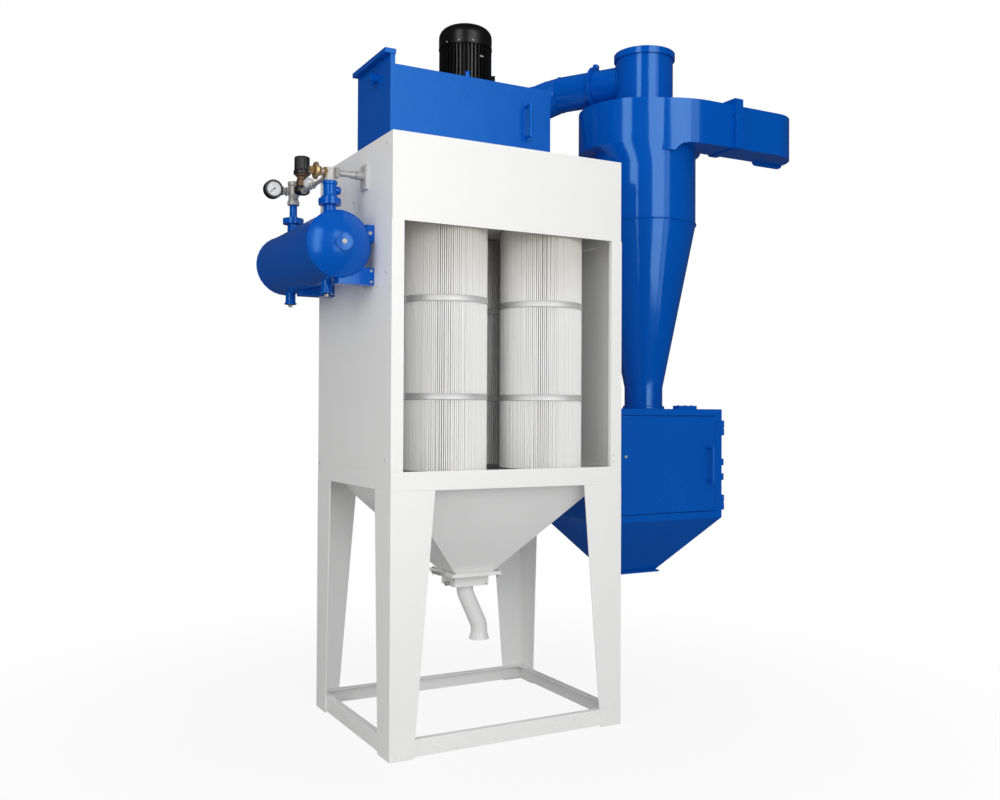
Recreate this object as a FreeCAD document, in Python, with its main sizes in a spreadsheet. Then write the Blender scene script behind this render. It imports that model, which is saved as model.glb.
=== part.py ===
import FreeCAD, Part
import math
import os
import re
import Sketcher
from FreeCAD import Placement, Rotation, Vector

# Cartridge dust collector: a white filter cabinet on a leg frame, a fan on its roof,
# a blue cyclone pre-separator with a dust box on its right side, and an air tank on its left.
# Millimetres. Origin: centre of the cabinet's footprint on the floor. Front faces -Y, up is +Z.

os.makedirs("parts", exist_ok=True)
doc = FreeCAD.newDocument("cartridge_dust_collector")
sheet = doc.addObject("Spreadsheet::Sheet", "sizes")

names = []


def size(name, amount):
    """Put one driving size into the next row of the sheet."""
    row = len(names) + 1
    sheet.set("A%d" % row, name)
    sheet.set("B%d" % row, str(amount))
    sheet.setAlias("B%d" % row, name)
    names.append(name)


# Sheet, clearances and how far a cutting tool runs past a face
size("sheet_wall", 3)
size("seat", 0.3)
size("spare", 1)

# Cabinet and leg frame
size("cabinet_width", 972)
size("cabinet_depth", 785)
size("roof_level", 2200)
size("frame_level", 1005)
size("top_rail_height", 68)
size("top_lip", 12)
size("leg_plate", 5)
size("leg_head_front", 171)
size("leg_foot_front", 92)
size("leg_head_side", 150)
size("leg_foot_side", 110)
size("rail_clear", 6)
size("rail_height", 60)
size("rail_lip", 27)
size("plenum_height", 313)
size("plenum_inset", 2)
size("tube_sheet_rise", 43)
size("tube_plate", 4)
size("jamb_width", 47)
size("jamb_return", 22)

# Filter cartridges
size("cartridge_radius", 162.5)
size("pleat_depth", 24)
size("pleat_count", 64)
size("core_radius", 105)
size("cartridge_bottom", 990)
size("cap_height", 12)
size("cap_lip", 1)
size("flange_height", 6)
size("cartridge_pitch_across", 422)
size("cartridge_pitch_deep", 374)
size("cartridge_middle_x", 12)
size("cartridge_middle_y", -25)
size("band_height", 23)
size("band_thickness", 1.5)
size("band_low_share", 0.3)
size("band_high_share", 0.68)

# Hopper under the cabinet
size("hopper_outlet", 170)
size("hopper_bottom", 583)
size("hopper_flange", 216)
size("hopper_flange_thick", 7)
size("gate_width", 150)
size("gate_depth", 124)
size("gate_height", 45)
size("spout_radius", 33)
size("spout_wall", 2.5)
size("spout_drop", 224)
size("spout_shift", 65)
size("spout_bend", 70)
size("spout_straight", 30)
size("spout_flare", 8)
size("spout_flare_height", 26)

# Fan on the roof
size("fan_inset", 8)
size("fan_set_back", 43.5)
size("fan_width", 659)
size("fan_depth", 324)
size("fan_height", 246)
size("end_panel", 18)
size("end_rise", 34)
size("end_cap_overhang", 22)
size("end_cap_width", 42)
size("end_cap_thick", 17)
size("end_cap_front", 3)
size("end_lug_radius", 16)
size("end_lug_out", 16)
size("end_lug_back", 128)
size("end_lug_rise", 225)
size("motor_from_left", 375)
size("motor_flange_radius", 104)
size("motor_flange_thick", 12)
size("motor_core_radius", 78)
size("motor_fin_radius", 94)
size("motor_fin_thick", 3)
size("motor_fin_count", 24)
size("motor_fin_root", 5)
size("motor_fin_margin", 12)
size("motor_body_height", 143)
size("cowl_radius", 101.5)
size("cowl_height", 78)
size("cowl_shoulder_width", 60)
size("cowl_shoulder_height", 48)
size("cowl_shoulder_steps", 6)
size("terminal_width", 58)
size("terminal_height", 52)
size("terminal_reach", 110)
size("terminal_root", 10)
size("terminal_rise", 6)
size("handle_radius", 6)
size("handle_length", 128)
size("handle_reach", 40)
size("handle_strip_width", 24)
size("handle_strip_thick", 3)
size("handle_strip_margin", 10)
size("fan_handle_from_left", 550)
size("fan_handle_rise", 111)

# Inlet hood on the roof and the round duct to it
size("hood_right_inset", 156)
size("hood_width", 340)
size("hood_back_inset", 7.5)
size("hood_depth", 180)
size("hood_height", 440)
size("throat_height", 230)
size("throat_sides", 24)
size("throat_steps", 4)
size("duct_radius", 77)
size("duct_wall", 2)
size("duct_root", 20)
size("duct_heading", 121.34)
size("duct_reach", 400)
size("duct_ring_at", 229)
size("duct_ring_radius", 96)
size("duct_ring_thick", 12)

# Cyclone
size("cyclone_y", -115)
size("barrel_radius", 219)
size("barrel_drop", 182)
size("barrel_height", 315)
size("head_height", 181)
size("scroll_growth", 43)
size("scroll_heading", 85)
size("scroll_rear_heading", 120)
size("nose_start", -105)
size("nose_run", 142)
size("lip_end", 42)
size("lip_radius", 66)
size("lip_drop", 34)
size("inlet_step", 54)
size("inlet_width", 146)
size("inlet_reach", 281)
size("inlet_mouth_depth", 60)
size("inlet_flange", 18)
size("inlet_flange_top", 28)
size("inlet_flange_low", 5)
size("inlet_flange_thick", 18)
size("inlet_flange_corner", 12)
size("elbow_straight", 235)
size("elbow_rim", 12)
size("elbow_rim_corner", 22)
size("pipe_radius", 122)
size("pipe_dip", 43)
size("pipe_rise", 243)
size("duct_rise", 136)
size("cap_radius", 130.5)
size("cap_rise", 4)
size("cap_plate", 3)
size("cap_edge", 2)
size("cap_skirt", 28)
size("neck_radius", 81)
size("neck_height", 90)
size("neck_flange_radius", 89)
size("neck_flange_thick", 10)
size("seam_bead", 4)
size("seam_height", 5)
size("saddle_width", 120)
size("saddle_height", 80)
size("saddle_rise", 60)
size("saddle_bite", 30)

# Dust box under the cyclone
size("box_gap", 28)
size("box_width", 567)
size("box_front", -292)
size("box_depth", 590)
size("box_bottom", 770)
size("box_top", 1233)
size("box_wall", 3)
size("door_margin_side", 43)
size("door_margin_top", 34)
size("door_margin_bottom", 35)
size("door_gap", 6)
size("door_pan", 18)
size("door_proud", 2)
size("hinge_radius", 5)
size("hinge_pin", 2.6)
size("hinge_out", 8)
size("hinge_leaf", 30)
size("hinge_leaf_thick", 3)
size("hinge_bridge", 12)
size("hinge_foot", 14)
size("hinge_foot_gap", 2)
size("hinge_low_rise", 80)
size("hinge_high_rise", 330)
size("knuckle_height", 29)
size("knuckle_gap", 1)
size("door_handle_inset", 81)
size("door_handle_rise", 230)
size("door_handle_length", 150)
size("clamp_out", 11)
size("clamp_deep", 24)
size("clamp_height", 64)
size("clamp_low_rise", 33)
size("clamp_high_rise", 351)
size("catch_height", 28)
size("catch_low_rise", 160)
size("catch_high_rise", 223)
size("top_pad_from_right", 224)
size("top_pad_length", 96)
size("top_pad_depth", 40)
size("top_pad_height", 14)
size("top_pad_back", 10)
size("channel_width", 60)
size("channel_spacing", 400)
size("channel_margin", 40)
size("dust_hopper_bottom", 533)
size("dust_outlet", 176)
size("dust_flange", 200)
size("dust_flange_thick", 8)

# Compressed-air tank
size("tank_gap", 18)
size("tank_drop", 388)
size("tank_radius", 118)
size("tank_wall", 5)
size("tank_middle", 93)
size("tank_length", 650)
size("dome_depth", 52)
size("hub_radius", 30)
size("hub_root", 3)
size("hub_thick", 8)
size("nozzle_spacing", 443)
size("nozzle_radius", 23)
size("nozzle_flange_radius", 41)
size("nozzle_rise", 37)
size("nozzle_flange_thick", 22)
size("drain_radius", 20)
size("drain_drop", 47)
size("drain_shift", 30)
size("arm_width", 60)
size("arm_first", 5)
size("arm_second", 435)
size("arm_foot", 22)
size("arm_height", 63)
size("lug_rise", 17)
size("lug_height", 61)
size("lug_reach", 32)

# Air fittings over the tank
size("riser_radius", 23)
size("riser_height", 67)
size("supply_rise", 157)
size("supply_radius", 11)
size("front_tee_radius", 20)
size("front_tee_drop", 31)
size("front_tee_rise", 15)
size("valve_disc_radius", 31)
size("valve_disc_thick", 8)
size("valve_reach", 58)
size("socket_radius", 16)
size("socket_length", 30)
size("wall_plate_thick", 8)
size("wall_plate_width", 58)
size("wall_plate_height", 92)
size("wall_plate_drop", 52)
size("link_radius", 8)
size("link_drop", 10)
size("regulator_reach", 333)
size("regulator_radius", 25)
size("regulator_drop", 29)
size("regulator_height", 87)
size("collar_radius", 33)
size("collar_height", 16)
size("knob_radius", 30)
size("knob_height", 54)
size("dial_radius", 17)
size("dial_thick", 18)
size("dial_reach", 90)
size("dial_rise", 17)
size("dial_stem", 5)
size("rear_neck_radius", 15)
size("rear_tee_radius", 20)
size("rear_tee_drop", 44)
size("rear_tee_rise", 51)
size("gauge_radius", 37)
size("gauge_thick", 36)
size("gauge_front", 30)
size("gauge_out", 87)
size("gauge_rise", 10)
size("gauge_arm_radius", 8)

doc.recompute()

# Levels and places that several pieces share
plenum_level = "(roof_level - plenum_height)"
tube_sheet_level = "(roof_level - plenum_height + tube_sheet_rise)"
cabinet_left = "(-cabinet_width / 2)"
cabinet_right = "(cabinet_width / 2)"
cabinet_front = "(-cabinet_depth / 2)"
fan_left = "(fan_inset - cabinet_width / 2)"
fan_front = "(fan_set_back - cabinet_depth / 2)"
fan_top = "(roof_level + fan_height)"
box_left = "(cabinet_width / 2 + box_gap)"
box_right = "(cabinet_width / 2 + box_gap + box_width)"
cyclone_x = "(cabinet_width / 2 + box_gap + box_width / 2)"
barrel_bottom = "(roof_level - barrel_drop)"
head_bottom = "(roof_level - barrel_drop + barrel_height)"
head_top = "(roof_level - barrel_drop + barrel_height + head_height)"
tank_x = "(-cabinet_width / 2 - tank_gap - tank_radius)"
tank_z = "(roof_level - tank_drop)"
supply_level = "(roof_level - tank_drop + tank_radius + supply_rise)"


def bound(text):
    """Point every size name in a formula at its cell in the sheet."""
    return re.sub(r"[a-z][a-z_]+", lambda word: "sizes." + word.group()
                  if word.group() in names else word.group(), text)


def number(text):
    """Work out a formula of sizes as a number, through a spare cell of the sheet."""
    sheet.set("D1", "=" + text)
    sheet.recompute()
    return float(sheet.get("D1"))


def bind(thing, prop, text):
    """Tie one property of an object to a formula of sizes."""
    thing.setExpression(prop, bound(text))


def place(thing, x, y, z):
    """Tie an object's place to three formulas."""
    bind(thing, "Placement.Base.x", x)
    bind(thing, "Placement.Base.y", y)
    bind(thing, "Placement.Base.z", z)


def box(x, y, z, dx, dy, dz):
    """A block from its low corner and its three sides, each a formula."""
    block = doc.addObject("Part::Box", "block")
    place(block, x, y, z)
    bind(block, "Length", dx)
    bind(block, "Width", dy)
    bind(block, "Height", dz)
    return block


AXES = {
    "z": Rotation(),
    "x": Rotation(Vector(0, 1, 0), 90),
    "y": Rotation(Vector(1, 0, 0), -90),
}


def rod(x, y, z, radius, length, axis="z"):
    """A round bar that starts at a point and runs along one axis."""
    bar = doc.addObject("Part::Cylinder", "rod")
    bar.Placement = Placement(Vector(), AXES[axis])
    place(bar, x, y, z)
    bind(bar, "Radius", radius)
    bind(bar, "Height", length)
    return bar


def cut(base, *tools):
    """The base with every tool taken away."""
    for tool in tools:
        piece = doc.addObject("Part::Cut", "cut")
        piece.Base = base
        piece.Tool = tool
        base = piece
    return base


def join(*pieces):
    """Touching pieces made one."""
    whole = doc.addObject("Part::MultiFuse", "join")
    whole.Shapes = list(pieces)
    return whole


def group(*pieces):
    """Pieces kept as separate solids of one sub-part."""
    whole = doc.addObject("Part::Compound", "group")
    whole.Links = list(pieces)
    return whole


def made(shape):
    """A shape worked out with geometry functions, as an object."""
    piece = doc.addObject("Part::Feature", "made")
    piece.Shape = shape
    return piece


parts = []


def part(name, thing):
    """Name a finished sub-part."""
    thing.Label = name
    parts.append(thing)
    return thing


PLANES = {"xz": "XZ_Plane", "yz": "YZ_Plane"}


def new_body(name):
    """An empty body with its label."""
    body = doc.addObject("PartDesign::Body", name)
    body.Label = name
    parts.append(body)
    return body


def outline(body, plane, corners, level="0"):
    """A closed outline of straight lines on an origin plane, each corner tied to two formulas."""
    sketch = body.newObject("Sketcher::SketchObject", "outline")
    origin = [f for f in body.Origin.OriginFeatures if f.Role == PLANES[plane]][0]
    sketch.AttachmentSupport = [(origin, "")]
    sketch.MapMode = "FlatFace"
    bind(sketch, ".AttachmentOffset.Base.z", level)
    count = len(corners)
    points = [Vector(number(a), number(b), 0) for a, b in corners]
    for i in range(count):
        sketch.addGeometry(Part.LineSegment(points[i], points[(i + 1) % count]), False)
    for i in range(count):
        sketch.addConstraint(join_ends(i, (i + 1) % count))
    for i, (a, b) in enumerate(corners):
        tie(sketch, "DistanceX", i, points[i].x, a)
        tie(sketch, "DistanceY", i, points[i].y, b)
    return sketch


def join_ends(a, b):
    """The end of one line meets the start of the next."""
    return Sketcher.Constraint("Coincident", a, 2, b, 1)


def tie(sketch, kind, line, amount, text):
    """Hold the start of a line at a distance from the origin that a formula gives."""
    index = sketch.addConstraint(Sketcher.Constraint(kind, -1, 1, line, 1, amount))
    sketch.setExpression("Constraints[%d]" % index, bound(text))


def pad(body, sketch, length):
    """Raise an outline by a length."""
    solid = body.newObject("PartDesign::Pad", "raise")
    solid.Profile = sketch
    bind(solid, "Length", length)
    return solid


def spin(body, sketch):
    """Turn an outline all the way round the vertical axis of its plane."""
    solid = body.newObject("PartDesign::Revolution", "turn")
    solid.Profile = sketch
    solid.ReferenceAxis = (sketch, ["V_Axis"])
    solid.Angle = 360
    return solid


def turned(name, corners, x, y, z="0"):
    """A body of revolution about a vertical axis at x, y, from radius and height corners."""
    body = new_body(name)
    place(body, x, y, z)
    spin(body, outline(body, "xz", corners))
    return body


def flat_solid(faces):
    """A closed solid from flat faces, each a list of corner points."""
    shell = Part.makeShell([Part.Face(Part.makePolygon(face + face[:1])) for face in faces])
    shell.sewShape()
    solid = Part.makeSolid(shell)
    if solid.Volume < 0:
        solid.reverse()
    return solid


def rounded_block(corner, length, depth, height, radius, along):
    """A block whose edges along one axis are rounded."""
    block = Part.makeBox(length, depth, height, corner)
    edges = [edge for edge in block.Edges
             if round(abs(edge.tangentAt(edge.FirstParameter).dot(along))) == 1]
    return block.makeFillet(radius, edges)


# Legs: an angle of two tapered plates, wide at the head and narrow at the foot
def leg(name, side, end):
    """side is 1 on the right, -1 on the left; end is 1 at the rear, -1 in front."""
    body = new_body(name)
    edge_x = "%d * cabinet_width / 2" % side
    edge_y = "%d * cabinet_depth / 2" % end
    top = "frame_level - top_rail_height"
    face = [(edge_x, "0"),
            ("%s - %d * leg_foot_front" % (edge_x, side), "0"),
            ("%s - %d * leg_head_front" % (edge_x, side), top),
            (edge_x, top)]
    face_back = "-cabinet_depth / 2 + leg_plate" if end < 0 else "cabinet_depth / 2"
    pad(body, outline(body, "xz", face, "-(%s)" % face_back), "leg_plate")
    flank = [(edge_y, "0"),
             ("%s - %d * leg_foot_side" % (edge_y, end), "0"),
             ("%s - %d * leg_head_side" % (edge_y, end), top),
             (edge_y, top)]
    flank_start = "-cabinet_width / 2" if side < 0 else "cabinet_width / 2 - leg_plate"
    pad(body, outline(body, "yz", flank, flank_start), "leg_plate")
    return body


for side_word, side in (("left", -1), ("right", 1)):
    for end_word, end in (("front", -1), ("rear", 1)):
        leg("leg_%s_%s" % (end_word, side_word), side, end)

# Top rail ring with an inward lip that carries the hopper and the cabinet
ring_outer = box(cabinet_left, cabinet_front, "frame_level - top_rail_height",
                 "cabinet_width", "cabinet_depth", "top_rail_height")
ring_inner = box("leg_plate - cabinet_width / 2", "leg_plate - cabinet_depth / 2",
                 "frame_level - top_rail_height - spare",
                 "cabinet_width - 2 * leg_plate", "cabinet_depth - 2 * leg_plate",
                 "top_rail_height + spare - leg_plate")
ring_mouth = box("top_lip - cabinet_width / 2", "top_lip - cabinet_depth / 2",
                 "frame_level - top_rail_height - spare",
                 "cabinet_width - 2 * top_lip", "cabinet_depth - 2 * top_lip",
                 "top_rail_height + 2 * spare")
part("top_frame", cut(ring_outer, ring_inner, ring_mouth))


# Foot rails: angles between the legs, a little above the floor
def long_rail(name, end):
    """The rail along the front or the rear."""
    outer = "leg_plate - cabinet_depth / 2" if end < 0 else "cabinet_depth / 2 - 2 * leg_plate"
    lip = "leg_plate - cabinet_depth / 2" if end < 0 else "cabinet_depth / 2 - leg_plate - rail_lip"
    web = box("leg_plate - cabinet_width / 2", outer, "rail_clear",
              "cabinet_width - 2 * leg_plate", "leg_plate", "rail_height")
    flange = box("leg_plate - cabinet_width / 2", lip, "rail_clear + rail_height - leg_plate",
                 "cabinet_width - 2 * leg_plate", "rail_lip", "leg_plate")
    return part(name, join(web, flange))


def short_rail(name, side):
    """The rail along one side, between the long ones."""
    outer = "leg_plate - cabinet_width / 2" if side < 0 else "cabinet_width / 2 - 2 * leg_plate"
    lip = "leg_plate - cabinet_width / 2" if side < 0 else "cabinet_width / 2 - leg_plate - rail_lip"
    start = "leg_plate + rail_lip - cabinet_depth / 2"
    run = "cabinet_depth - 2 * (leg_plate + rail_lip)"
    web = box(outer, start, "rail_clear", "leg_plate", run, "rail_height")
    flange = box(lip, start, "rail_clear + rail_height - leg_plate", "rail_lip", run, "leg_plate")
    return part(name, join(web, flange))


long_rail("foot_rail_front", -1)
long_rail("foot_rail_rear", 1)
short_rail("foot_rail_left", -1)
short_rail("foot_rail_right", 1)


# Hoppers: four-sided funnels of sheet
def rectangle(width, depth, level, middle):
    """Four corners of a level rectangle about a middle point."""
    return [Vector(middle[0] + a * width / 2, middle[1] + b * depth / 2, level)
            for a, b in ((-1, -1), (1, -1), (1, 1), (-1, 1))]


def frustum(top, top_level, bottom, bottom_level, middle):
    """A solid between two level rectangles, each given as width and depth."""
    low = rectangle(*bottom, bottom_level, middle)
    high = rectangle(*top, top_level, middle)
    sides = [[low[i - 1], low[i], high[i], high[i - 1]] for i in range(len(low))]
    return flat_solid([low, high] + sides)


def funnel(top, top_level, bottom, bottom_level, wall, middle):
    """A funnel of sheet between two level rectangles, open at both ends."""
    outer = frustum(top, top_level, bottom, bottom_level, middle)
    inner = frustum([side - 2 * wall for side in top], top_level,
                    [side - 2 * wall for side in bottom], bottom_level, middle)
    return outer.cut(inner)


hopper_top = (number("cabinet_width - 2 * (leg_plate + seat)"),
              number("cabinet_depth - 2 * (leg_plate + seat)"))
hopper_low = (number("hopper_outlet"), number("hopper_outlet"))
part("hopper", made(funnel(hopper_top, number("frame_level - leg_plate"), hopper_low,
                           number("hopper_bottom"), number("sheet_wall"), (0, 0))))

# Slide gate under the hopper: a pair of square flanges and a gate box
gate_top = "(hopper_bottom - 2 * hopper_flange_thick)"
flange_pair = box("-hopper_flange / 2", "-hopper_flange / 2", gate_top,
                  "hopper_flange", "hopper_flange", "2 * hopper_flange_thick")
gate_box = box("-gate_width / 2", "-gate_depth / 2", gate_top + " - gate_height",
               "gate_width", "gate_depth", "gate_height")
part("slide_gate", join(flange_pair, gate_box))


# Discharge spout: a bent tube, straight down, across and down again, flared at its end
def spout_path():
    """The centre line down to the flare: straight runs joined by tangent arcs."""
    top = number(gate_top + " - gate_height")
    end = top - number("spout_drop - spout_flare_height")
    shift = number("spout_shift")
    straight = Vector(0, 0, number("spout_straight"))
    points = [Vector(0, 0, top), Vector(0, 0, top) - straight,
              Vector(shift, 0, end) + straight, Vector(shift, 0, end)]
    return rounded_path(points, number("spout_bend"))


def rounded_path(points, radius):
    """Edges through points whose corners are rounded with arcs of one radius."""
    edges = []
    start = points[0]
    for before, corner, after in zip(points, points[1:], points[2:]):
        back = (before - corner).normalize()
        ahead = (after - corner).normalize()
        half = back.getAngle(ahead) / 2
        shortest = min((before - corner).Length, (after - corner).Length)
        reach = min(radius / math.tan(half), shortest * 4 / 5)
        arc_radius = reach * math.tan(half)
        first = corner + back * reach
        last = corner + ahead * reach
        centre = corner + (back + ahead).normalize() * (arc_radius / math.sin(half))
        middle = centre + (corner - centre).normalize() * arc_radius
        edges.append(Part.LineSegment(start, first).toShape())
        edges.append(Part.Arc(first, middle, last).toShape())
        start = last
    edges.append(Part.LineSegment(start, points[-1]).toShape())
    return edges


def tube_piece(edge, radius, wall):
    """A piece of round tube along one straight or arc edge."""
    start = edge.valueAt(edge.FirstParameter)
    heading = edge.tangentAt(edge.FirstParameter)
    rims = [Part.Wire(Part.makeCircle(r, start, heading)) for r in (radius, radius - wall)]
    ring = Part.makeFace(rims, "Part::FaceMakerBullseye")
    if edge.Curve.TypeId == "Part::GeomLine":
        return ring.extrude(heading * edge.Length)
    centre = edge.Curve.Center
    axis = (start - centre).cross(heading)
    return ring.revolve(centre, axis, math.degrees(edge.Length / edge.Curve.Radius))


def bent_spout():
    """The bent tube and its flare, end to end."""
    wall = number("spout_wall")
    radius = number("spout_radius")
    wide = number("spout_radius + spout_flare")
    path = spout_path()
    pieces = [tube_piece(edge, radius, wall) for edge in path]
    height = number("spout_flare_height")
    low = path[-1].valueAt(path[-1].LastParameter) - Vector(0, 0, height)
    pieces.append(Part.makeCone(wide, radius, height, low).cut(
        Part.makeCone(wide - wall, radius - wall, height, low)))
    return pieces[0].fuse(pieces[1:])


part("discharge_spout", made(bent_spout()))

# Filter housing walls: side panels, back panel and the two jambs of the access opening
wall_height = plenum_level + " - frame_level"
part("side_panel_left", box(cabinet_left, "sheet_wall - cabinet_depth / 2", "frame_level",
                            "sheet_wall", "cabinet_depth - 2 * sheet_wall", wall_height))
part("side_panel_right", box("cabinet_width / 2 - sheet_wall", "sheet_wall - cabinet_depth / 2",
                             "frame_level", "sheet_wall", "cabinet_depth - 2 * sheet_wall", wall_height))
part("back_panel", box(cabinet_left, "cabinet_depth / 2 - sheet_wall", "frame_level",
                       "cabinet_width", "sheet_wall", wall_height))


def jamb(name, side):
    """A folded upright beside the opening, with a return inward."""
    left = cabinet_left if side < 0 else "cabinet_width / 2 - jamb_width"
    inner = "jamb_width - sheet_wall - cabinet_width / 2" if side < 0 else "cabinet_width / 2 - jamb_width"
    face = box(left, cabinet_front, "frame_level", "jamb_width", "sheet_wall", wall_height)
    fold = box(inner, cabinet_front, "frame_level", "sheet_wall", "jamb_return", wall_height)
    return part(name, join(face, fold))


jamb("opening_jamb_left", -1)
jamb("opening_jamb_right", 1)

# Clean-air plenum: the cabinet's head, open below, with its front as the lintel of the opening
plenum_outer = box("plenum_inset - cabinet_width / 2", "plenum_inset - cabinet_depth / 2", plenum_level,
                   "cabinet_width - 2 * plenum_inset", "cabinet_depth - 2 * plenum_inset", "plenum_height")
plenum_skin = "(plenum_inset + sheet_wall)"
plenum_inner = box(plenum_skin + " - cabinet_width / 2", plenum_skin + " - cabinet_depth / 2",
                   plenum_level + " - spare", "cabinet_width - 2 * " + plenum_skin,
                   "cabinet_depth - 2 * " + plenum_skin, "plenum_height + spare - sheet_wall")
part("clean_air_plenum", cut(plenum_outer, plenum_inner))

# Tube sheet: the plate that the cartridges hang from, with one clean-air hole over each
centres = [("cartridge_middle_x + %d * cartridge_pitch_across / 2" % a,
            "cartridge_middle_y + %d * cartridge_pitch_deep / 2" % b)
           for b in (-1, 1) for a in (-1, 1)]
tube_plate = box(plenum_skin + " - cabinet_width / 2", plenum_skin + " - cabinet_depth / 2",
                 tube_sheet_level, "cabinet_width - 2 * " + plenum_skin,
                 "cabinet_depth - 2 * " + plenum_skin, "tube_plate")
holes = [rod(x, y, tube_sheet_level + " - spare", "core_radius", "tube_plate + 2 * spare")
         for x, y in centres]
part("tube_sheet", cut(tube_plate, *holes))


# Cartridges: a pleated ring between a closed bottom pan and an open top flange
def pleated_ring():
    """Filter media folded into even pleats round an open core."""
    count = int(number("pleat_count"))
    outer = number("cartridge_radius")
    inner = number("cartridge_radius - pleat_depth")
    rim = number("cartridge_radius + cap_lip")
    core_radius = number("core_radius")
    points = []
    for i in range(count):
        crest = 2 * math.pi * i / count
        valley = crest + math.pi / count
        points.append(Vector(outer * math.cos(crest), outer * math.sin(crest), 0))
        points.append(Vector(inner * math.cos(valley), inner * math.sin(valley), 0))
    points.append(points[0])
    star = Part.Face(Part.Wire(Part.makePolygon(points)))
    core = Part.Face(Part.Wire(Part.makeCircle(core_radius)))
    low = number("cartridge_bottom")
    height = Vector(0, 0, number(tube_sheet_level + " - cartridge_bottom"))
    ring = star.extrude(height).cut(core.extrude(height))
    ring.translate(Vector(0, 0, low))
    pan = Part.makeCylinder(rim, number("cap_height"), Vector(0, 0, low))
    flange_height = number("flange_height")
    flange_low = Vector(0, 0, number(tube_sheet_level + " - flange_height"))
    flange = Part.makeCylinder(rim, flange_height, flange_low).cut(
        Part.makeCylinder(core_radius, flange_height, flange_low))
    return ring.fuse([pan, flange])


cartridge_shape = pleated_ring()
cartridge_names = ("cartridge_front_left", "cartridge_front_right",
                   "cartridge_rear_left", "cartridge_rear_right")
for cartridge_name, (x, y) in zip(cartridge_names, centres):
    cartridge = made(cartridge_shape)
    place(cartridge, x, y, "0")
    part(cartridge_name, cartridge)

# Clamp bands: two galvanised straps round each cartridge
bands = []
for x, y in centres:
    for share in ("band_low_share", "band_high_share"):
        middle = "(cartridge_bottom + %s * (%s - cartridge_bottom))" % (share, tube_sheet_level)
        strap = rod(x, y, middle + " - band_height / 2",
                    "cartridge_radius + seat + band_thickness", "band_height")
        bore = rod(x, y, middle + " - band_height / 2 - spare", "cartridge_radius + seat",
                   "band_height + 2 * spare")
        bands.append(cut(strap, bore))
part("cartridge_bands", group(*bands))


# Fan housing on the roof, open below, with its pull handle on a backing strip
def pull_handle(x, face, middle, length):
    """A round bar bent to a D, standing on a face that looks to the front."""
    low = "%s - %s / 2 + handle_radius" % (middle, length)
    high = "%s + %s / 2 - handle_radius" % (middle, length)
    legs = [rod(x, "%s - handle_reach" % face, z, "handle_radius", "handle_reach", "y")
            for z in (low, high)]
    grip = rod(x, "%s - handle_reach" % face, low + " - handle_radius", "handle_radius", length)
    return legs + [grip]


fan_outer = box(fan_left + " + end_panel", fan_front, "roof_level", "fan_width - end_panel",
                "fan_depth", "fan_height")
fan_inner = box(fan_left + " + end_panel + sheet_wall", fan_front + " + sheet_wall", "roof_level - spare",
                "fan_width - end_panel - 2 * sheet_wall", "fan_depth - 2 * sheet_wall",
                "fan_height + spare - sheet_wall")
handle_x = fan_left + " + fan_handle_from_left"
handle_middle = "(roof_level + fan_handle_rise)"
handle_strip = box(handle_x + " - handle_strip_width / 2", fan_front + " - handle_strip_thick",
                   handle_middle + " - handle_length / 2 - handle_strip_margin", "handle_strip_width",
                   "handle_strip_thick", "handle_length + 2 * handle_strip_margin")
part("fan_housing", join(cut(fan_outer, fan_inner), handle_strip,
                         *pull_handle(handle_x, fan_front, handle_middle, "handle_length")))

# End frame of the fan housing: a raised panel with a cap strip and a lug
end_plate = box(fan_left, fan_front, "roof_level", "end_panel", "fan_depth", "fan_height + end_rise")
end_cap = box(fan_left + " - end_cap_overhang", fan_front + " - end_cap_front", fan_top + " + end_rise",
              "end_cap_width", "fan_depth + end_cap_front", "end_cap_thick")
end_lug = rod(fan_left + " - end_lug_out", fan_front + " + end_lug_back", "roof_level + end_lug_rise",
              "end_lug_radius", "end_lug_out", "x")
part("fan_end_frame", join(end_plate, end_cap, end_lug))


# Motor: a finned body on a round flange, with a terminal box on its right
def finned_body():
    """The motor's body, standing on the fan housing's top at the origin's x and y."""
    core_radius = number("motor_core_radius")
    root = number("motor_core_radius - motor_fin_root")
    flange = Part.makeCylinder(number("motor_flange_radius"), number("motor_flange_thick"),
                               Vector(0, 0, number(fan_top)))
    low = number(fan_top + " + motor_flange_thick")
    core = Part.makeCylinder(core_radius, number("motor_body_height"), Vector(0, 0, low))
    fins = []
    count = int(number("motor_fin_count"))
    thick = number("motor_fin_thick")
    margin = number("motor_fin_margin")
    for i in range(count):
        fin = Part.makeBox(number("motor_fin_radius") - root, thick,
                           number("motor_body_height") - 2 * margin,
                           Vector(root, -thick / 2, low + margin))
        fin.rotate(Vector(), Vector(0, 0, 1), 360 * i / count)
        fins.append(fin)
    width = number("terminal_width")
    inner = number("motor_core_radius - terminal_root")
    terminal = Part.makeBox(number("terminal_reach") - inner, width, number("terminal_height"),
                            Vector(inner, -width / 2, low + number("terminal_rise")))
    return core.fuse([flange, terminal] + fins)


motor_x = fan_left + " + motor_from_left"
motor_y = fan_front + " + fan_depth / 2"
motor = made(finned_body())
place(motor, motor_x, motor_y, "0")
part("motor_body", motor)


def cowl_shoulder():
    """Corners of the cowl's rounded shoulder, a quarter of an ellipse in even steps."""
    steps = int(number("cowl_shoulder_steps"))
    corners = []
    for i in range(steps + 1):
        angle = math.pi / 2 * i / steps
        corners.append(("cowl_radius - cowl_shoulder_width * %.5f" % (1 - math.cos(angle)),
                        "cowl_height - cowl_shoulder_height * %.5f" % (1 - math.sin(angle))))
    return corners


cowl_corners = [("0", "0"), ("cowl_radius", "0")] + cowl_shoulder() + [("0", "cowl_height")]
turned("motor_cowl", cowl_corners, motor_x, motor_y,
       fan_top + " + motor_flange_thick + motor_body_height")

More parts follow.
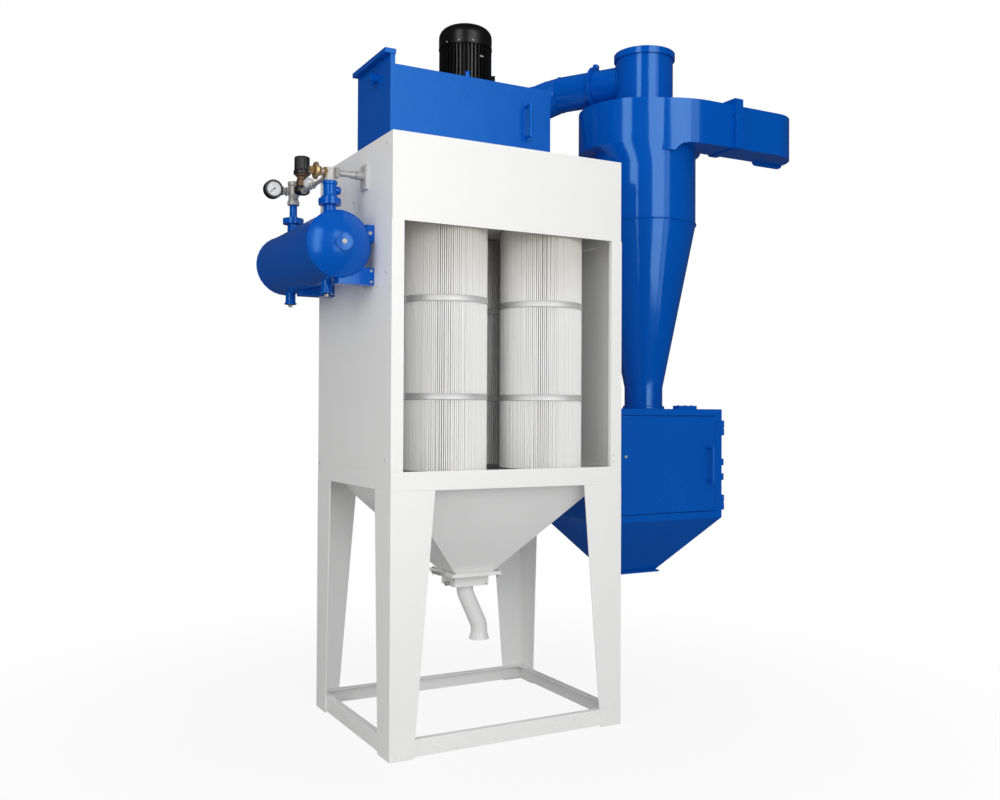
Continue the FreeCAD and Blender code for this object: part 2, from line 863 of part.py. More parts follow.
# Inlet hood on the roof, with the transition that narrows from its mouth to the round duct
hood_right = "(cabinet_width / 2 - hood_right_inset)"
hood_front = "(cabinet_depth / 2 - hood_back_inset - hood_depth)"
hood_top = "(roof_level + hood_height)"
duct_angle = math.radians(number("duct_heading"))
duct_way = Vector(math.cos(duct_angle), math.sin(duct_angle), 0)
duct_side = Vector(duct_way.y, -duct_way.x, 0)
cyclone_axis = Vector(number(cyclone_x), number("cyclone_y"), 0)
duct_level = Vector(0, 0, number(head_top + " + duct_rise"))
duct_end = cyclone_axis + duct_way * number("duct_reach") + duct_level
mouth_middle = Vector(number(hood_right), number(hood_front + " + hood_depth / 2"),
                      number(hood_top + " - throat_height / 2"))


def throat_rings(wall):
    """Rings of corners that ease from the duct's circle to the hood's rectangular mouth."""
    count = int(number("throat_sides"))
    steps = int(number("throat_steps"))
    radius = number("duct_radius") - wall
    half_width = number("hood_depth / 2") - wall
    half_height = number("throat_height / 2") - wall
    pull = (mouth_middle - duct_end).Length
    rings = []
    for j in range(steps + 1):
        t = j / steps
        near = 2 * t ** 3 - 3 * t ** 2 + 1
        leave = t ** 3 - 2 * t ** 2 + t
        arrive = t ** 3 - t ** 2
        ring = []
        for k in range(count):
            angle = 2 * math.pi * k / count
            across = math.cos(angle)
            up = math.sin(angle)
            reach = max(abs(across), abs(up))
            circle = duct_end + duct_side * (across * radius) + Vector(0, 0, up * radius)
            mouth = mouth_middle + Vector(0, across / reach * half_width, up / reach * half_height)
            ring.append(circle * near + duct_way * (pull * leave)
                        + mouth * (1 - near) + Vector(-1, 0, 0) * (pull * arrive))
        rings.append(ring)
    return rings


def throat():
    """The transition as folded sheet: triangles outside and inside, closed at both ends."""
    outer = throat_rings(0)
    inner = throat_rings(number("sheet_wall"))
    faces = []
    for skin in (outer, inner):
        for a, b in zip(skin, skin[1:]):
            for k in range(len(a)):
                faces += [[a[k - 1], a[k], b[k]], [a[k - 1], b[k], b[k - 1]]]
    for a, b in ((outer[0], inner[0]), (outer[-1], inner[-1])):
        faces += [[a[k - 1], a[k], b[k], b[k - 1]] for k in range(len(a))]
    return flat_solid(faces)


hood_outer = box(hood_right + " - hood_width", hood_front, "roof_level", "hood_width", "hood_depth",
                 "hood_height")
hood_inner = box(hood_right + " - hood_width + sheet_wall", hood_front + " + sheet_wall",
                 "roof_level - spare", "hood_width - 2 * sheet_wall", "hood_depth - 2 * sheet_wall",
                 "hood_height + spare - sheet_wall")
hood_mouth = box(hood_right + " - 2 * sheet_wall", hood_front + " + sheet_wall",
                 hood_top + " - throat_height + sheet_wall", "3 * sheet_wall",
                 "hood_depth - 2 * sheet_wall", "throat_height - 2 * sheet_wall")
part("inlet_hood", join(cut(hood_outer, hood_inner, hood_mouth), made(throat())))


# Round duct from the cyclone's outlet pipe to the transition, with a bolted ring pair
def round_duct():
    """The duct as a tube with its ring, cut to the outlet pipe's side."""
    pipe_radius = number("pipe_radius")
    radius = number("duct_radius")
    start = cyclone_axis + duct_way * number("pipe_radius - duct_root") + duct_level
    run = number("duct_reach - pipe_radius + duct_root")
    ring_start = cyclone_axis + duct_way * number("duct_ring_at - duct_ring_thick / 2") + duct_level
    tube = Part.makeCylinder(radius, run, start, duct_way)
    ring = Part.makeCylinder(number("duct_ring_radius"), number("duct_ring_thick"), ring_start, duct_way)
    bore = Part.makeCylinder(radius - number("duct_wall"), run, start, duct_way)
    pipe = Part.makeCylinder(pipe_radius, 4 * radius, cyclone_axis + duct_level - Vector(0, 0, 2 * radius))
    return tube.fuse(ring).cut(bore).cut(pipe)


part("transfer_duct", made(round_duct()))

# Cyclone outlet pipe, reaching down into the head, with a side hole for the duct
pipe_bottom = "(%s - pipe_dip)" % head_bottom
pipe_top = "(%s + pipe_rise)" % head_top
pipe_outer = rod(cyclone_x, "cyclone_y", pipe_bottom, "pipe_radius", "%s - %s" % (pipe_top, pipe_bottom))
pipe_inner = rod(cyclone_x, "cyclone_y", pipe_bottom + " - spare", "pipe_radius - duct_wall",
                 "%s - %s + 2 * spare" % (pipe_top, pipe_bottom))
side_hole = made(Part.makeCylinder(number("duct_radius - duct_wall"), number("pipe_radius + duct_root"),
                                   cyclone_axis + duct_level, duct_way))
part("outlet_pipe", cut(pipe_outer, pipe_inner, side_hole))

# Cap over the outlet pipe
cap_level = pipe_top + " + cap_rise"
turned("outlet_cap", [("0", cap_level + " - cap_plate"), ("pipe_radius + seat", cap_level + " - cap_plate"),
                      ("pipe_radius + seat", cap_level + " - cap_skirt"),
                      ("cap_radius", cap_level + " - cap_skirt"),
                      ("cap_radius", cap_level + " - cap_edge"), ("cap_radius - cap_edge", cap_level),
                      ("0", cap_level)],
       cyclone_x, "cyclone_y")

# Cyclone head: a drum flush with the barrel in front, growing to the rear, with a tangent inlet duct
inlet_front = number("cyclone_y - barrel_radius - inlet_step")
inlet_back = inlet_front + number("inlet_width")
inlet_end = number(cyclone_x + " + inlet_reach")
head_low = number(head_bottom)
head_high = number(head_top)


def polar(centre, degrees, radius):
    """A point at a heading and a distance from a centre."""
    angle = math.radians(degrees)
    return centre + Vector(math.cos(angle), math.sin(angle), 0) * radius


def scroll_centre():
    """The drum's centre, moved so that the drum touches the barrel in front."""
    return polar(cyclone_axis, number("scroll_heading"), number("scroll_growth"))


def nose_point():
    """Where the inlet's front wall leaves the drum."""
    return polar(scroll_centre(), number("nose_start"), number("barrel_radius + scroll_growth"))


def scroll_face(inset):
    """The plan of the head, moved inward by a wall."""
    radius = number("barrel_radius + scroll_growth")
    centre = scroll_centre()
    start = nose_point()
    nose_end = Vector(cyclone_axis.x + number("nose_run"), inlet_front, 0)
    run = nose_end.x - start.x
    rise = start.y - nose_end.y
    nose_radius = (run * run + rise * rise) / (2 * rise)
    nose_centre = nose_end + Vector(0, nose_radius, 0)
    nose_middle = nose_centre + ((start + nose_end) / 2 - nose_centre).normalize() * nose_radius
    meet = Vector(centre.x + math.sqrt(radius ** 2 - (centre.y - inlet_back) ** 2), inlet_back, 0)
    rear = polar(centre, number("scroll_rear_heading"), radius)
    front_corner = Vector(inlet_end, inlet_front, 0)
    back_corner = Vector(inlet_end, inlet_back, 0)
    wire = Part.Wire([Part.Arc(start, nose_middle, nose_end).toShape(),
                      Part.LineSegment(nose_end, front_corner).toShape(),
                      Part.LineSegment(front_corner, back_corner).toShape(),
                      Part.LineSegment(back_corner, meet).toShape(),
                      Part.Arc(meet, rear, start).toShape()])
    if inset:
        wire = wire.makeOffset2D(-inset, 2)
    return Part.Face(wire)


def nose_lip():
    """The lip under the nose, cut to a curve, that carries the front wall down onto the barrel."""
    drop = number("lip_drop")
    base = head_low - drop
    start_x = nose_point().x
    end_x = cyclone_axis.x + number("lip_end")
    radius = number("lip_radius")
    slab = scroll_face(0).extrude(Vector(0, 0, drop))
    slab.translate(Vector(0, 0, base))
    keep = Part.makeBox(end_x - start_x, number("inlet_width"), drop, Vector(start_x, inlet_front, base))
    barrel = Part.makeCylinder(number("barrel_radius + seat"), drop, cyclone_axis + Vector(0, 0, base))
    arch = Part.makeCylinder(radius, number("inlet_width"), Vector(end_x, inlet_front, head_low - radius),
                             Vector(0, 1, 0))
    return slab.common(keep).cut([barrel, arch])


def inlet_ring(x):
    """A rectangular bolting flange round the inlet duct, with rounded corners."""
    side = number("inlet_flange")
    thick = number("inlet_flange_thick")
    base = head_low - number("inlet_flange_low")
    outer = rounded_block(Vector(x, inlet_front - side, base), thick, number("inlet_width") + 2 * side,
                          head_high + number("inlet_flange_top") - base, number("inlet_flange_corner"),
                          Vector(1, 0, 0))
    bore = Part.makeBox(thick, number("inlet_width"), head_high - head_low, Vector(x, inlet_front, head_low))
    return outer.cut(bore)


def cyclone_head():
    """The head as a hollow sheet body with its holes, flange and lip."""
    wall = number("box_wall")
    depth = number("inlet_mouth_depth")
    outer = scroll_face(0).extrude(Vector(0, 0, head_high - head_low))
    outer.translate(Vector(0, 0, head_low))
    inner = scroll_face(wall).extrude(Vector(0, 0, head_high - head_low - 2 * wall))
    inner.translate(Vector(0, 0, head_low + wall))
    mouth = Part.makeBox(depth, number("inlet_width") - 2 * wall, head_high - head_low - 2 * wall,
                         Vector(inlet_end - depth / 2, inlet_front + wall, head_low + wall))
    pipe_hole = Part.makeCylinder(number("pipe_radius + seat"), depth,
                                  cyclone_axis + Vector(0, 0, head_high - depth / 2))
    barrel_hole = Part.makeCylinder(number("barrel_radius - box_wall"), depth,
                                    cyclone_axis + Vector(0, 0, head_low - depth / 2))
    flange = inlet_ring(inlet_end - number("inlet_flange_thick"))
    return outer.cut([inner, mouth, pipe_hole, barrel_hole]).fuse([flange, nose_lip()])


part("cyclone_head", made(cyclone_head()))


# Inlet elbow: the rectangular duct goes on from the flange and turns to the rear
def elbow_solid(wall, overrun):
    """The elbow's body less a wall: a straight run and a quarter turn about its rear corner."""
    width = number("inlet_width")
    low = head_low + wall
    height = head_high - head_low - 2 * wall
    turn_x = inlet_end + number("elbow_straight")
    corner = Vector(turn_x, inlet_back, low)
    run = Part.makeBox(turn_x - inlet_end + overrun, width - 2 * wall, height,
                       Vector(inlet_end - overrun, inlet_front + wall, low))
    quarter = Part.makeCylinder(width - wall, height, corner, Vector(0, 0, 1), 90)
    quarter.rotate(corner, Vector(0, 0, 1), -90)
    return run.fuse(quarter)


def inlet_elbow():
    """The elbow as a hollow sheet body, with its flange and its end rim."""
    wall = number("box_wall")
    width = number("inlet_width")
    turn_x = inlet_end + number("elbow_straight")
    rim = number("elbow_rim")
    height = head_high - head_low
    shell = elbow_solid(0, 0).cut(elbow_solid(wall, wall))
    way_out = Part.makeBox(width - 2 * wall, rim + 2 * wall, height - 2 * wall,
                           Vector(turn_x + wall, inlet_back - wall, head_low + wall))
    end_rim = rounded_block(Vector(turn_x - rim, inlet_back, head_low - rim), width + 2 * rim, rim,
                            height + 2 * rim, number("elbow_rim_corner"), Vector(0, 1, 0))
    return shell.fuse([inlet_ring(inlet_end), end_rim]).cut(way_out)


part("inlet_elbow", made(inlet_elbow()))

# Barrel, with the bead of its lower seam
turned("cyclone_barrel", [("barrel_radius - box_wall", barrel_bottom),
                          ("barrel_radius + seam_bead", barrel_bottom),
                          ("barrel_radius + seam_bead", barrel_bottom + " + seam_height"),
                          ("barrel_radius", barrel_bottom + " + seam_height"),
                          ("barrel_radius", head_bottom),
                          ("barrel_radius - box_wall", head_bottom)],
       cyclone_x, "cyclone_y")

# Cone, neck and neck flange
turned("cyclone_cone", [("barrel_radius - box_wall", barrel_bottom),
                        ("neck_radius - box_wall", "box_top + neck_height"),
                        ("neck_radius - box_wall", "box_top"),
                        ("neck_flange_radius", "box_top"),
                        ("neck_flange_radius", "box_top + neck_flange_thick"),
                        ("neck_radius", "box_top + neck_flange_thick"),
                        ("neck_radius", "box_top + neck_height"),
                        ("barrel_radius", barrel_bottom)],
       cyclone_x, "cyclone_y")

# Dust box: a square shell open below, with a doorway in front and a hole under the neck
box_outer = box(box_left, "box_front", "box_bottom", "box_width", "box_depth", "box_top - box_bottom")
box_inner = box(box_left + " + box_wall", "box_front + box_wall", "box_bottom - spare",
                "box_width - 2 * box_wall", "box_depth - 2 * box_wall",
                "box_top - box_bottom + spare - box_wall")
doorway = box(box_left + " + door_margin_side - door_gap", "box_front - spare",
              "box_bottom + door_margin_bottom - door_gap",
              "box_width - 2 * door_margin_side + 2 * door_gap", "box_wall + 2 * spare",
              "box_top - box_bottom - door_margin_top - door_margin_bottom + 2 * door_gap")
neck_hole = rod(cyclone_x, "cyclone_y", "box_top - 2 * box_wall", "neck_radius - box_wall",
                "3 * box_wall")
hinge_x = box_left + " + door_margin_side - hinge_out"
hinge_y = "box_front - hinge_out"
strap_front = hinge_y + " - hinge_leaf_thick / 2"
hinge_levels = ("box_bottom + hinge_low_rise", "box_bottom + hinge_high_rise")
frame_knuckles = []
for low in hinge_levels:
    frame_knuckles += [
        box(hinge_x + " - hinge_leaf", "box_front - hinge_leaf_thick", low, "hinge_leaf - hinge_radius",
            "hinge_leaf_thick", "knuckle_height"),
        box(hinge_x + " - hinge_bridge", strap_front, low, "hinge_bridge",
            "hinge_out - hinge_leaf_thick / 2", "knuckle_height"),
        rod(hinge_x, hinge_y, low, "hinge_radius", "knuckle_height"),
        rod(hinge_x, hinge_y, low, "hinge_pin", "2 * knuckle_height + knuckle_gap")]
clamps = [box(box_right, "box_front", "box_bottom + " + rise, "clamp_out", "clamp_deep", height)
          for rise, height in (("clamp_low_rise", "clamp_height"), ("clamp_high_rise", "clamp_height"),
                               ("catch_low_rise", "catch_height"), ("catch_high_rise", "catch_height"))]
top_pad = box(box_right + " - top_pad_from_right", "box_front + top_pad_back", "box_top",
              "top_pad_length", "top_pad_depth", "top_pad_height")
part("dust_box", join(cut(box_outer, box_inner, doorway, neck_hole), *frame_knuckles, *clamps, top_pad))

# Door of the dust box: a shallow pan with its handle and hinge knuckles
door_face = box(box_left + " + door_margin_side", "box_front - door_proud",
                "box_bottom + door_margin_bottom", "box_width - 2 * door_margin_side", "door_pan",
                "box_top - box_bottom - door_margin_top - door_margin_bottom")
door_hollow = box(box_left + " + door_margin_side + box_wall", "box_front - door_proud + box_wall",
                  "box_bottom + door_margin_bottom + box_wall",
                  "box_width - 2 * door_margin_side - 2 * box_wall", "door_pan",
                  "box_top - box_bottom - door_margin_top - door_margin_bottom - 2 * box_wall")
door_knuckles = []
door_bores = []
for low in hinge_levels:
    start = low + " + knuckle_height + knuckle_gap"
    door_knuckles += [
        rod(hinge_x, hinge_y, start, "hinge_radius", "knuckle_height"),
        box(hinge_x, strap_front, start, "hinge_out + hinge_foot_gap + hinge_foot", "hinge_leaf_thick",
            "knuckle_height"),
        box(hinge_x + " + hinge_out + hinge_foot_gap", strap_front, start, "hinge_foot",
            "hinge_out + hinge_leaf_thick / 2 - door_proud", "knuckle_height")]
    door_bores.append(rod(hinge_x, hinge_y, start + " - spare", "hinge_pin + seat",
                          "knuckle_height + 2 * spare"))
door_body = join(cut(door_face, door_hollow), *door_knuckles,
                 *pull_handle(box_right + " - door_handle_inset", "box_front - door_proud",
                              "box_bottom + door_handle_rise", "door_handle_length"))
part("dust_box_door", cut(door_body, *door_bores))

# Dust hopper under the box, with its outlet flange
box_middle = (cyclone_axis.x, number("box_front + box_depth / 2"))
dust_low = number("dust_hopper_bottom")
dust_funnel = funnel((number("box_width"), number("box_depth")), number("box_bottom"),
                     (number("dust_outlet"), number("dust_outlet")), dust_low, number("box_wall"), box_middle)
flange_side = number("dust_flange")
flange_thick = number("dust_flange_thick")
hole_side = number("dust_outlet - 2 * box_wall")
flange_corner = rectangle(flange_side, flange_side, dust_low - flange_thick, box_middle)[0]
hole_corner = rectangle(hole_side, hole_side, dust_low - flange_thick, box_middle)[0]
dust_plate = Part.makeBox(flange_side, flange_side, flange_thick, flange_corner)
dust_hole = Part.makeBox(hole_side, hole_side, flange_thick, hole_corner)
part("dust_hopper", made(dust_funnel.fuse(dust_plate.cut(dust_hole))))

# Channels between the cabinet's right side and the dust box, and the cyclone's saddle
channels = [box(cabinet_right, "box_front + box_depth / 2 + %d * channel_spacing / 2 - channel_width / 2" % s,
                "box_bottom + channel_margin", "box_gap", "channel_width",
                "box_top - box_bottom - 2 * channel_margin") for s in (-1, 1)]
part("dust_box_brackets", group(*channels))
saddle = box("cabinet_width / 2 - plenum_inset", "cyclone_y - saddle_width / 2",
             barrel_bottom + " + saddle_rise",
             "box_gap + box_width / 2 - barrel_radius + saddle_bite + plenum_inset",
             "saddle_width", "saddle_height")
saddle_bore = rod(cyclone_x, "cyclone_y", barrel_bottom, "barrel_radius + seat",
                  "saddle_rise + 2 * saddle_height")
part("cyclone_bracket", cut(saddle, saddle_bore))

# Air tank: shell, domed ends, nozzles and drains
tank_start = "(tank_middle - tank_length / 2)"
tank_outer = rod(tank_x, tank_start, tank_z, "tank_radius", "tank_length", "y")
tank_inner = rod(tank_x, tank_start + " - spare", tank_z, "tank_radius - tank_wall",
                 "tank_length + 2 * spare", "y")
part("air_tank_shell", cut(tank_outer, tank_inner))


def dome(sign):
    """A dished end: part of a sphere that meets the shell at its rim, with a hub plate."""
    radius = number("tank_radius")
    depth = number("dome_depth")
    ball = (radius ** 2 + depth ** 2) / (2 * depth)
    edge = number("tank_middle") + sign * number("tank_length / 2")
    axis = Vector(number(tank_x), edge, number(tank_z))
    sphere = Part.makeSphere(ball, axis - Vector(0, sign * (ball - depth), 0))
    keep = Part.makeCylinder(2 * radius, 2 * depth, axis, Vector(0, sign, 0))
    root = Vector(0, sign * (depth - number("hub_root")), 0)
    hub = Part.makeCylinder(number("hub_radius"), number("hub_thick"), axis + root, Vector(0, sign, 0))
    return sphere.common(keep).fuse(hub)


part("air_tank_ends", group(made(dome(-1)), made(dome(1))))

front_y = "(tank_middle - nozzle_spacing / 2)"
rear_y = "(tank_middle + nozzle_spacing / 2)"
flange_level = "(%s + tank_radius + nozzle_rise)" % tank_z
nozzle_top = "(%s + tank_radius + nozzle_rise + nozzle_flange_thick)" % tank_z
drain_depth = "(tank_radius + drain_drop)"
nozzles = []
tank_bore = rod(tank_x, tank_start, tank_z, "tank_radius", "tank_length", "y")
for y in (front_y, rear_y):
    stub = rod(tank_x, y, tank_z, "nozzle_radius", "tank_radius + nozzle_rise")
    flange = rod(tank_x, y, flange_level, "nozzle_flange_radius", "nozzle_flange_thick")
    drain = rod(tank_x, y + " + drain_shift", "%s - %s" % (tank_z, drain_depth), "drain_radius", drain_depth)
    nozzles += [cut(join(stub, flange), tank_bore), cut(drain, tank_bore)]
part("air_tank_nozzles", group(*nozzles))

# Brackets: an arm under the tank and a lug beside it at two places, each fixed to the cabinet
tank_clear = rod(tank_x, tank_start + " - spare", tank_z, "tank_radius + seat", "tank_length", "y")
arms = []
for offset in ("arm_first", "arm_second"):
    y = "%s + %s" % (tank_start, offset)
    arm = box(tank_x, y, tank_z + " - tank_radius - arm_foot", "tank_gap + tank_radius", "arm_width",
              "arm_height")
    lug = box("-cabinet_width / 2 - lug_reach", y, tank_z + " + lug_rise", "lug_reach", "arm_width",
              "lug_height")
    arms += [cut(arm, tank_clear), cut(lug, tank_clear)]
part("air_tank_brackets", group(*arms))

# Air supply: riser, tee with its valve disc, a pipe to the plate on the cabinet's side, and a link pipe
plate_x = "(plenum_inset - cabinet_width / 2 - wall_plate_thick)"
link_level = supply_level + " - link_drop"
riser = rod(tank_x, front_y, nozzle_top, "riser_radius", "riser_height")
front_tee = rod(tank_x, front_y, supply_level + " - front_tee_drop", "front_tee_radius",
                "front_tee_drop + front_tee_rise")
valve_stem = rod(tank_x + " - valve_reach", front_y, supply_level, "supply_radius", "valve_reach", "x")
valve_disc = rod(tank_x + " - valve_reach", front_y, supply_level, "valve_disc_radius",
                 "valve_disc_thick", "x")
supply = rod(tank_x, front_y, supply_level, "supply_radius", "%s - %s" % (plate_x, tank_x), "x")
socket = rod(plate_x + " - socket_length", front_y, supply_level, "socket_radius", "socket_length", "x")
wall_plate = box(plate_x, front_y + " - wall_plate_width / 2", supply_level + " - wall_plate_drop",
                 "wall_plate_thick", "wall_plate_width", "wall_plate_height")
link = rod(tank_x, front_y, link_level, "link_radius", "nozzle_spacing", "y")
part("supply_pipe", join(riser, front_tee, valve_stem, valve_disc, supply, socket, wall_plate, link))

# Air regulator on the link pipe, with its collar, knob and small dial
regulator_y = "(%s + regulator_reach)" % front_y
regulator_low = supply_level + " - regulator_drop"
regulator_body = rod(tank_x, regulator_y, regulator_low, "regulator_radius", "regulator_height")
collar = rod(tank_x, regulator_y, regulator_low + " + regulator_height", "collar_radius", "collar_height")
knob = rod(tank_x, regulator_y, regulator_low + " + regulator_height + collar_height", "knob_radius",
           "knob_height")
dial = rod(tank_x, regulator_y + " - dial_reach", supply_level + " + dial_rise", "dial_radius",
           "dial_thick", "y")
dial_stem = rod(tank_x, regulator_y + " - dial_reach", supply_level + " + dial_rise", "dial_stem",
                "dial_reach", "y")
regulator_bore = rod(tank_x, regulator_y + " - 2 * regulator_radius", link_level, "link_radius + seat",
                     "4 * regulator_radius", "y")
part("air_regulator", cut(join(regulator_body, collar, knob, dial, dial_stem), regulator_bore))

# Pressure gauge on a tee over the rear nozzle
rear_neck = rod(tank_x, rear_y, nozzle_top, "rear_neck_radius", "%s - %s" % (supply_level, nozzle_top))
rear_tee = rod(tank_x, rear_y, supply_level + " - rear_tee_drop", "rear_tee_radius",
               "rear_tee_drop + rear_tee_rise")
gauge_arm = rod(tank_x + " - gauge_out", rear_y, supply_level + " + gauge_rise", "gauge_arm_radius",
                "gauge_out", "x")
gauge_case = rod(tank_x + " - gauge_out", rear_y + " - gauge_front", supply_level + " + gauge_rise",
                 "gauge_radius", "gauge_thick", "y")
gauge_bore = rod(tank_x, rear_y + " - 2 * rear_tee_radius", link_level, "link_radius + seat",
                 "2 * rear_tee_radius", "y")
part("pressure_gauge", cut(join(rear_neck, rear_tee, gauge_arm, gauge_case), gauge_bore))

doc.recompute()


def check():
    """Stop with the names of failed objects before anything is written."""
    failed = [thing.Label for thing in doc.Objects
              if "Invalid" in thing.State or "Error" in thing.State]
    for piece in parts:
        if piece.Shape.isNull() or not piece.Shape.isValid() or not piece.Shape.Solids:
            failed.append(piece.Label)
    if failed:
        raise RuntimeError("failed: " + ", ".join(failed))


check()
for piece in parts:
    piece.Shape.exportStep(os.path.join("parts", piece.Label + ".step"))
    print("%-24s %d solids %10.1f cm3" % (piece.Label, len(piece.Shape.Solids), piece.Shape.Volume / 1000))
print(len(parts), "sub-parts")
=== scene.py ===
# %% [markdown]
# A cartridge dust collector: a white cabinet with pleated filter cartridges, a blue cyclone with its
# dust box, a fan with a black motor, and an air tank that fires the cleaning pulses. The frame holds
# the plain shapes of every part, in metres, and this lesson gives them their finish and small fittings.

import math

import bmesh
import bpy
import numpy as np
from mathutils import Matrix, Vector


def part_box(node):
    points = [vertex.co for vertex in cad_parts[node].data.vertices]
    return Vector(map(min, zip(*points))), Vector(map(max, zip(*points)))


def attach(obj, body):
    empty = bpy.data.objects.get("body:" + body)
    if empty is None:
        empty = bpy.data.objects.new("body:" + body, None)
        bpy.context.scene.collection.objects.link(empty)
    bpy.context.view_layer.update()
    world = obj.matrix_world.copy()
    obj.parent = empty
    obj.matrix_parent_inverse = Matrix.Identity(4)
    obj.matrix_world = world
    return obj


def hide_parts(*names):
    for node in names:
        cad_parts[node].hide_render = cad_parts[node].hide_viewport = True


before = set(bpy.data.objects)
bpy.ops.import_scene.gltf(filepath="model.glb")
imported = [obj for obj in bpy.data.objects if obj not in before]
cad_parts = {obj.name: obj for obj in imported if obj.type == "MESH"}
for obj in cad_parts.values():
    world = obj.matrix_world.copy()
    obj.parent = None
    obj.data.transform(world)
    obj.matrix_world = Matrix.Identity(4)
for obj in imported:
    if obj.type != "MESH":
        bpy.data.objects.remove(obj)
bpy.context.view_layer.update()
MM = 0.001
UP, DOWN, LEFT, RIGHT = (0, 0, 1), (0, 0, -1), (-1, 0, 0), (1, 0, 0)
FRONT, BACK = (0, -1, 0), (0, 1, 0)


def added(name, data):
    """A new object in the scene."""
    thing = bpy.data.objects.new(name, data)
    bpy.context.collection.objects.link(thing)
    return thing


# %% [markdown]
# The camera comes first, because every later judgement is made through it. Its place was found from
# the cabinet's corners in the photograph: a little above the middle of the machine, to its left, with
# nearly level sight and an ordinary lens.

# %% Camera
CAMERA_SPOT = (-1.8457, -3.6827, 1.2144)
YAW, PITCH, ROLL = math.radians(28.539), math.radians(0.7055), math.radians(0.265)
camera_data = bpy.data.cameras.new("camera")
camera_data.sensor_width = 36.0
camera_data.lens = 36.745
camera = added("camera", camera_data)
turn = (Matrix.Rotation(-YAW, 4, "Z") @ Matrix.Rotation(math.pi / 2 + PITCH, 4, "X")
        @ Matrix.Rotation(ROLL, 4, "Z"))
camera.matrix_world = Matrix.Translation(CAMERA_SPOT) @ turn
bpy.context.scene.camera = camera
bpy.context.scene.view_settings.view_transform = "Standard"
print("camera looks along", [round(-v, 3) for v in turn.col[2][:3]])

# %% [markdown]
# Every new piece is a surface on a grid of points, worked out as whole arrays. A few shapes cover
# nearly all the fittings: a profile turned round an axis, an outline raised in levels and a round
# bead. A Piece gathers any number of these and becomes one object.


# %% Gather surfaces into a piece
class Piece:
    """One object in the making: points and faces of many surfaces, joined at the end."""

    def __init__(self, name):
        self.name = name
        self.points, self.faces, self.count = [], [], 0

    def add(self, points, faces):
        self.points.append(np.asarray(points, float).reshape(-1, 3))
        self.faces.append(np.asarray(faces) + self.count)
        self.count += len(self.points[-1])
        return self

    def grid(self, points, wrap_u=False, wrap_v=False):
        """Quads between the neighbours of points[u, v]; a wrapped side joins its last row to its first."""
        rows, columns = points.shape[:2]
        u, v = np.meshgrid(np.arange(rows if wrap_u else rows - 1),
                           np.arange(columns if wrap_v else columns - 1), indexing="ij")
        u2, v2 = (u + 1) % rows, (v + 1) % columns
        quads = np.stack([u * columns + v, u2 * columns + v, u2 * columns + v2, u * columns + v2], -1)
        return self.add(points, quads.reshape(-1, 4))

    def put(self, shape, spot, axis=UP):
        """A closed shape made about the origin, set on a spot with its height along an axis."""
        return self.grid(set_on(shape, spot, axis), wrap_u=True)

    def loop(self, shape, spot, axis=UP):
        """A ring whose profile is closed too, set on a spot in the same way."""
        return self.grid(set_on(shape, spot, axis), wrap_u=True, wrap_v=True)

    def box(self, low, high, edge):
        return self.grid(block(low, high, edge), wrap_u=True)

    def done(self, material, body="collector", replaces=(), slot=None, angle=38, turn_out=True):
        """Merge seams and poles, face outwards, shade smooth below an angle, and ride on a body.

        The slot is worked out from SLOTS unless another is named, but it is not used."""
        mesh = bpy.data.meshes.new(self.name)
        mesh.from_pydata(np.concatenate(self.points), [], np.concatenate(self.faces))
        work = bmesh.new()
        work.from_mesh(mesh)
        bmesh.ops.remove_doubles(work, verts=work.verts, dist=1e-6)
        bmesh.ops.dissolve_degenerate(work, dist=1e-7, edges=work.edges)
        if turn_out:
            bmesh.ops.recalc_face_normals(work, faces=work.faces)
        work.to_mesh(mesh)
        work.free()
        mesh.shade_smooth()
        mesh.set_sharp_from_angle(angle=math.radians(angle))
        mesh.materials.append(material)
        piece = added(self.name, mesh)
        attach(piece, body)
        if replaces:
            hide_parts(*replaces)
        slot = slot or SLOTS.get(material.name)
        print(self.name, len(mesh.polygons), "faces")
        return piece


# %% Turn a profile round an axis
def mm(*corners):
    """Corners given in millimetres, in metres."""
    return np.array(corners, float) * MM


def out_from(radius, *corners):
    """Corners in millimetres whose first number is counted outward from a radius in metres."""
    return mm(*corners) + [radius, 0]


def turned(profile, sides):
    """points[u, v]: profile point v, as radius and height, turned through u / sides of a circle."""
    profile = np.asarray(profile, float)
    angle = np.arange(sides) * 2 * math.pi / sides
    return np.stack([np.outer(np.cos(angle), profile[:, 0]), np.outer(np.sin(angle), profile[:, 0]),
                     np.broadcast_to(profile[:, 1], (sides, len(profile)))], -1)


def spun(points, angle):
    """Points turned about the upright axis."""
    cosine, sine = math.cos(angle), math.sin(angle)
    return points @ np.array([[cosine, sine, 0], [-sine, cosine, 0], [0, 0, 1]])


def rounded(corners, radius, steps=4):
    """Corners of an open outline, each replaced by a quadratic curve that starts and ends radius away."""
    corners = np.asarray(corners, float)
    before, middle, after = corners[:-2], corners[1:-1], corners[2:]
    to_before, to_after = before - middle, after - middle
    long_before = np.linalg.norm(to_before, axis=1, keepdims=True)
    long_after = np.linalg.norm(to_after, axis=1, keepdims=True)
    reach = np.minimum(radius, 0.49 * np.minimum(long_before, long_after))
    first = middle + to_before / long_before * reach
    last = middle + to_after / long_after * reach
    t = np.linspace(0, 1, steps + 1)[None, :, None]
    curve = (1 - t) ** 2 * first[:, None] + 2 * t * (1 - t) * middle[:, None] + t ** 2 * last[:, None]
    return np.concatenate([corners[:1], curve.reshape(-1, corners.shape[1]), corners[-1:]])


def spindle(sides, soft, *corners):
    """Corners in millimetres, joined to the axis at both ends, rounded by soft millimetres and turned."""
    profile = mm((0, corners[0][1]), *corners, (0, corners[-1][1]))
    return turned(rounded(profile, soft * MM) if soft else profile, sides)


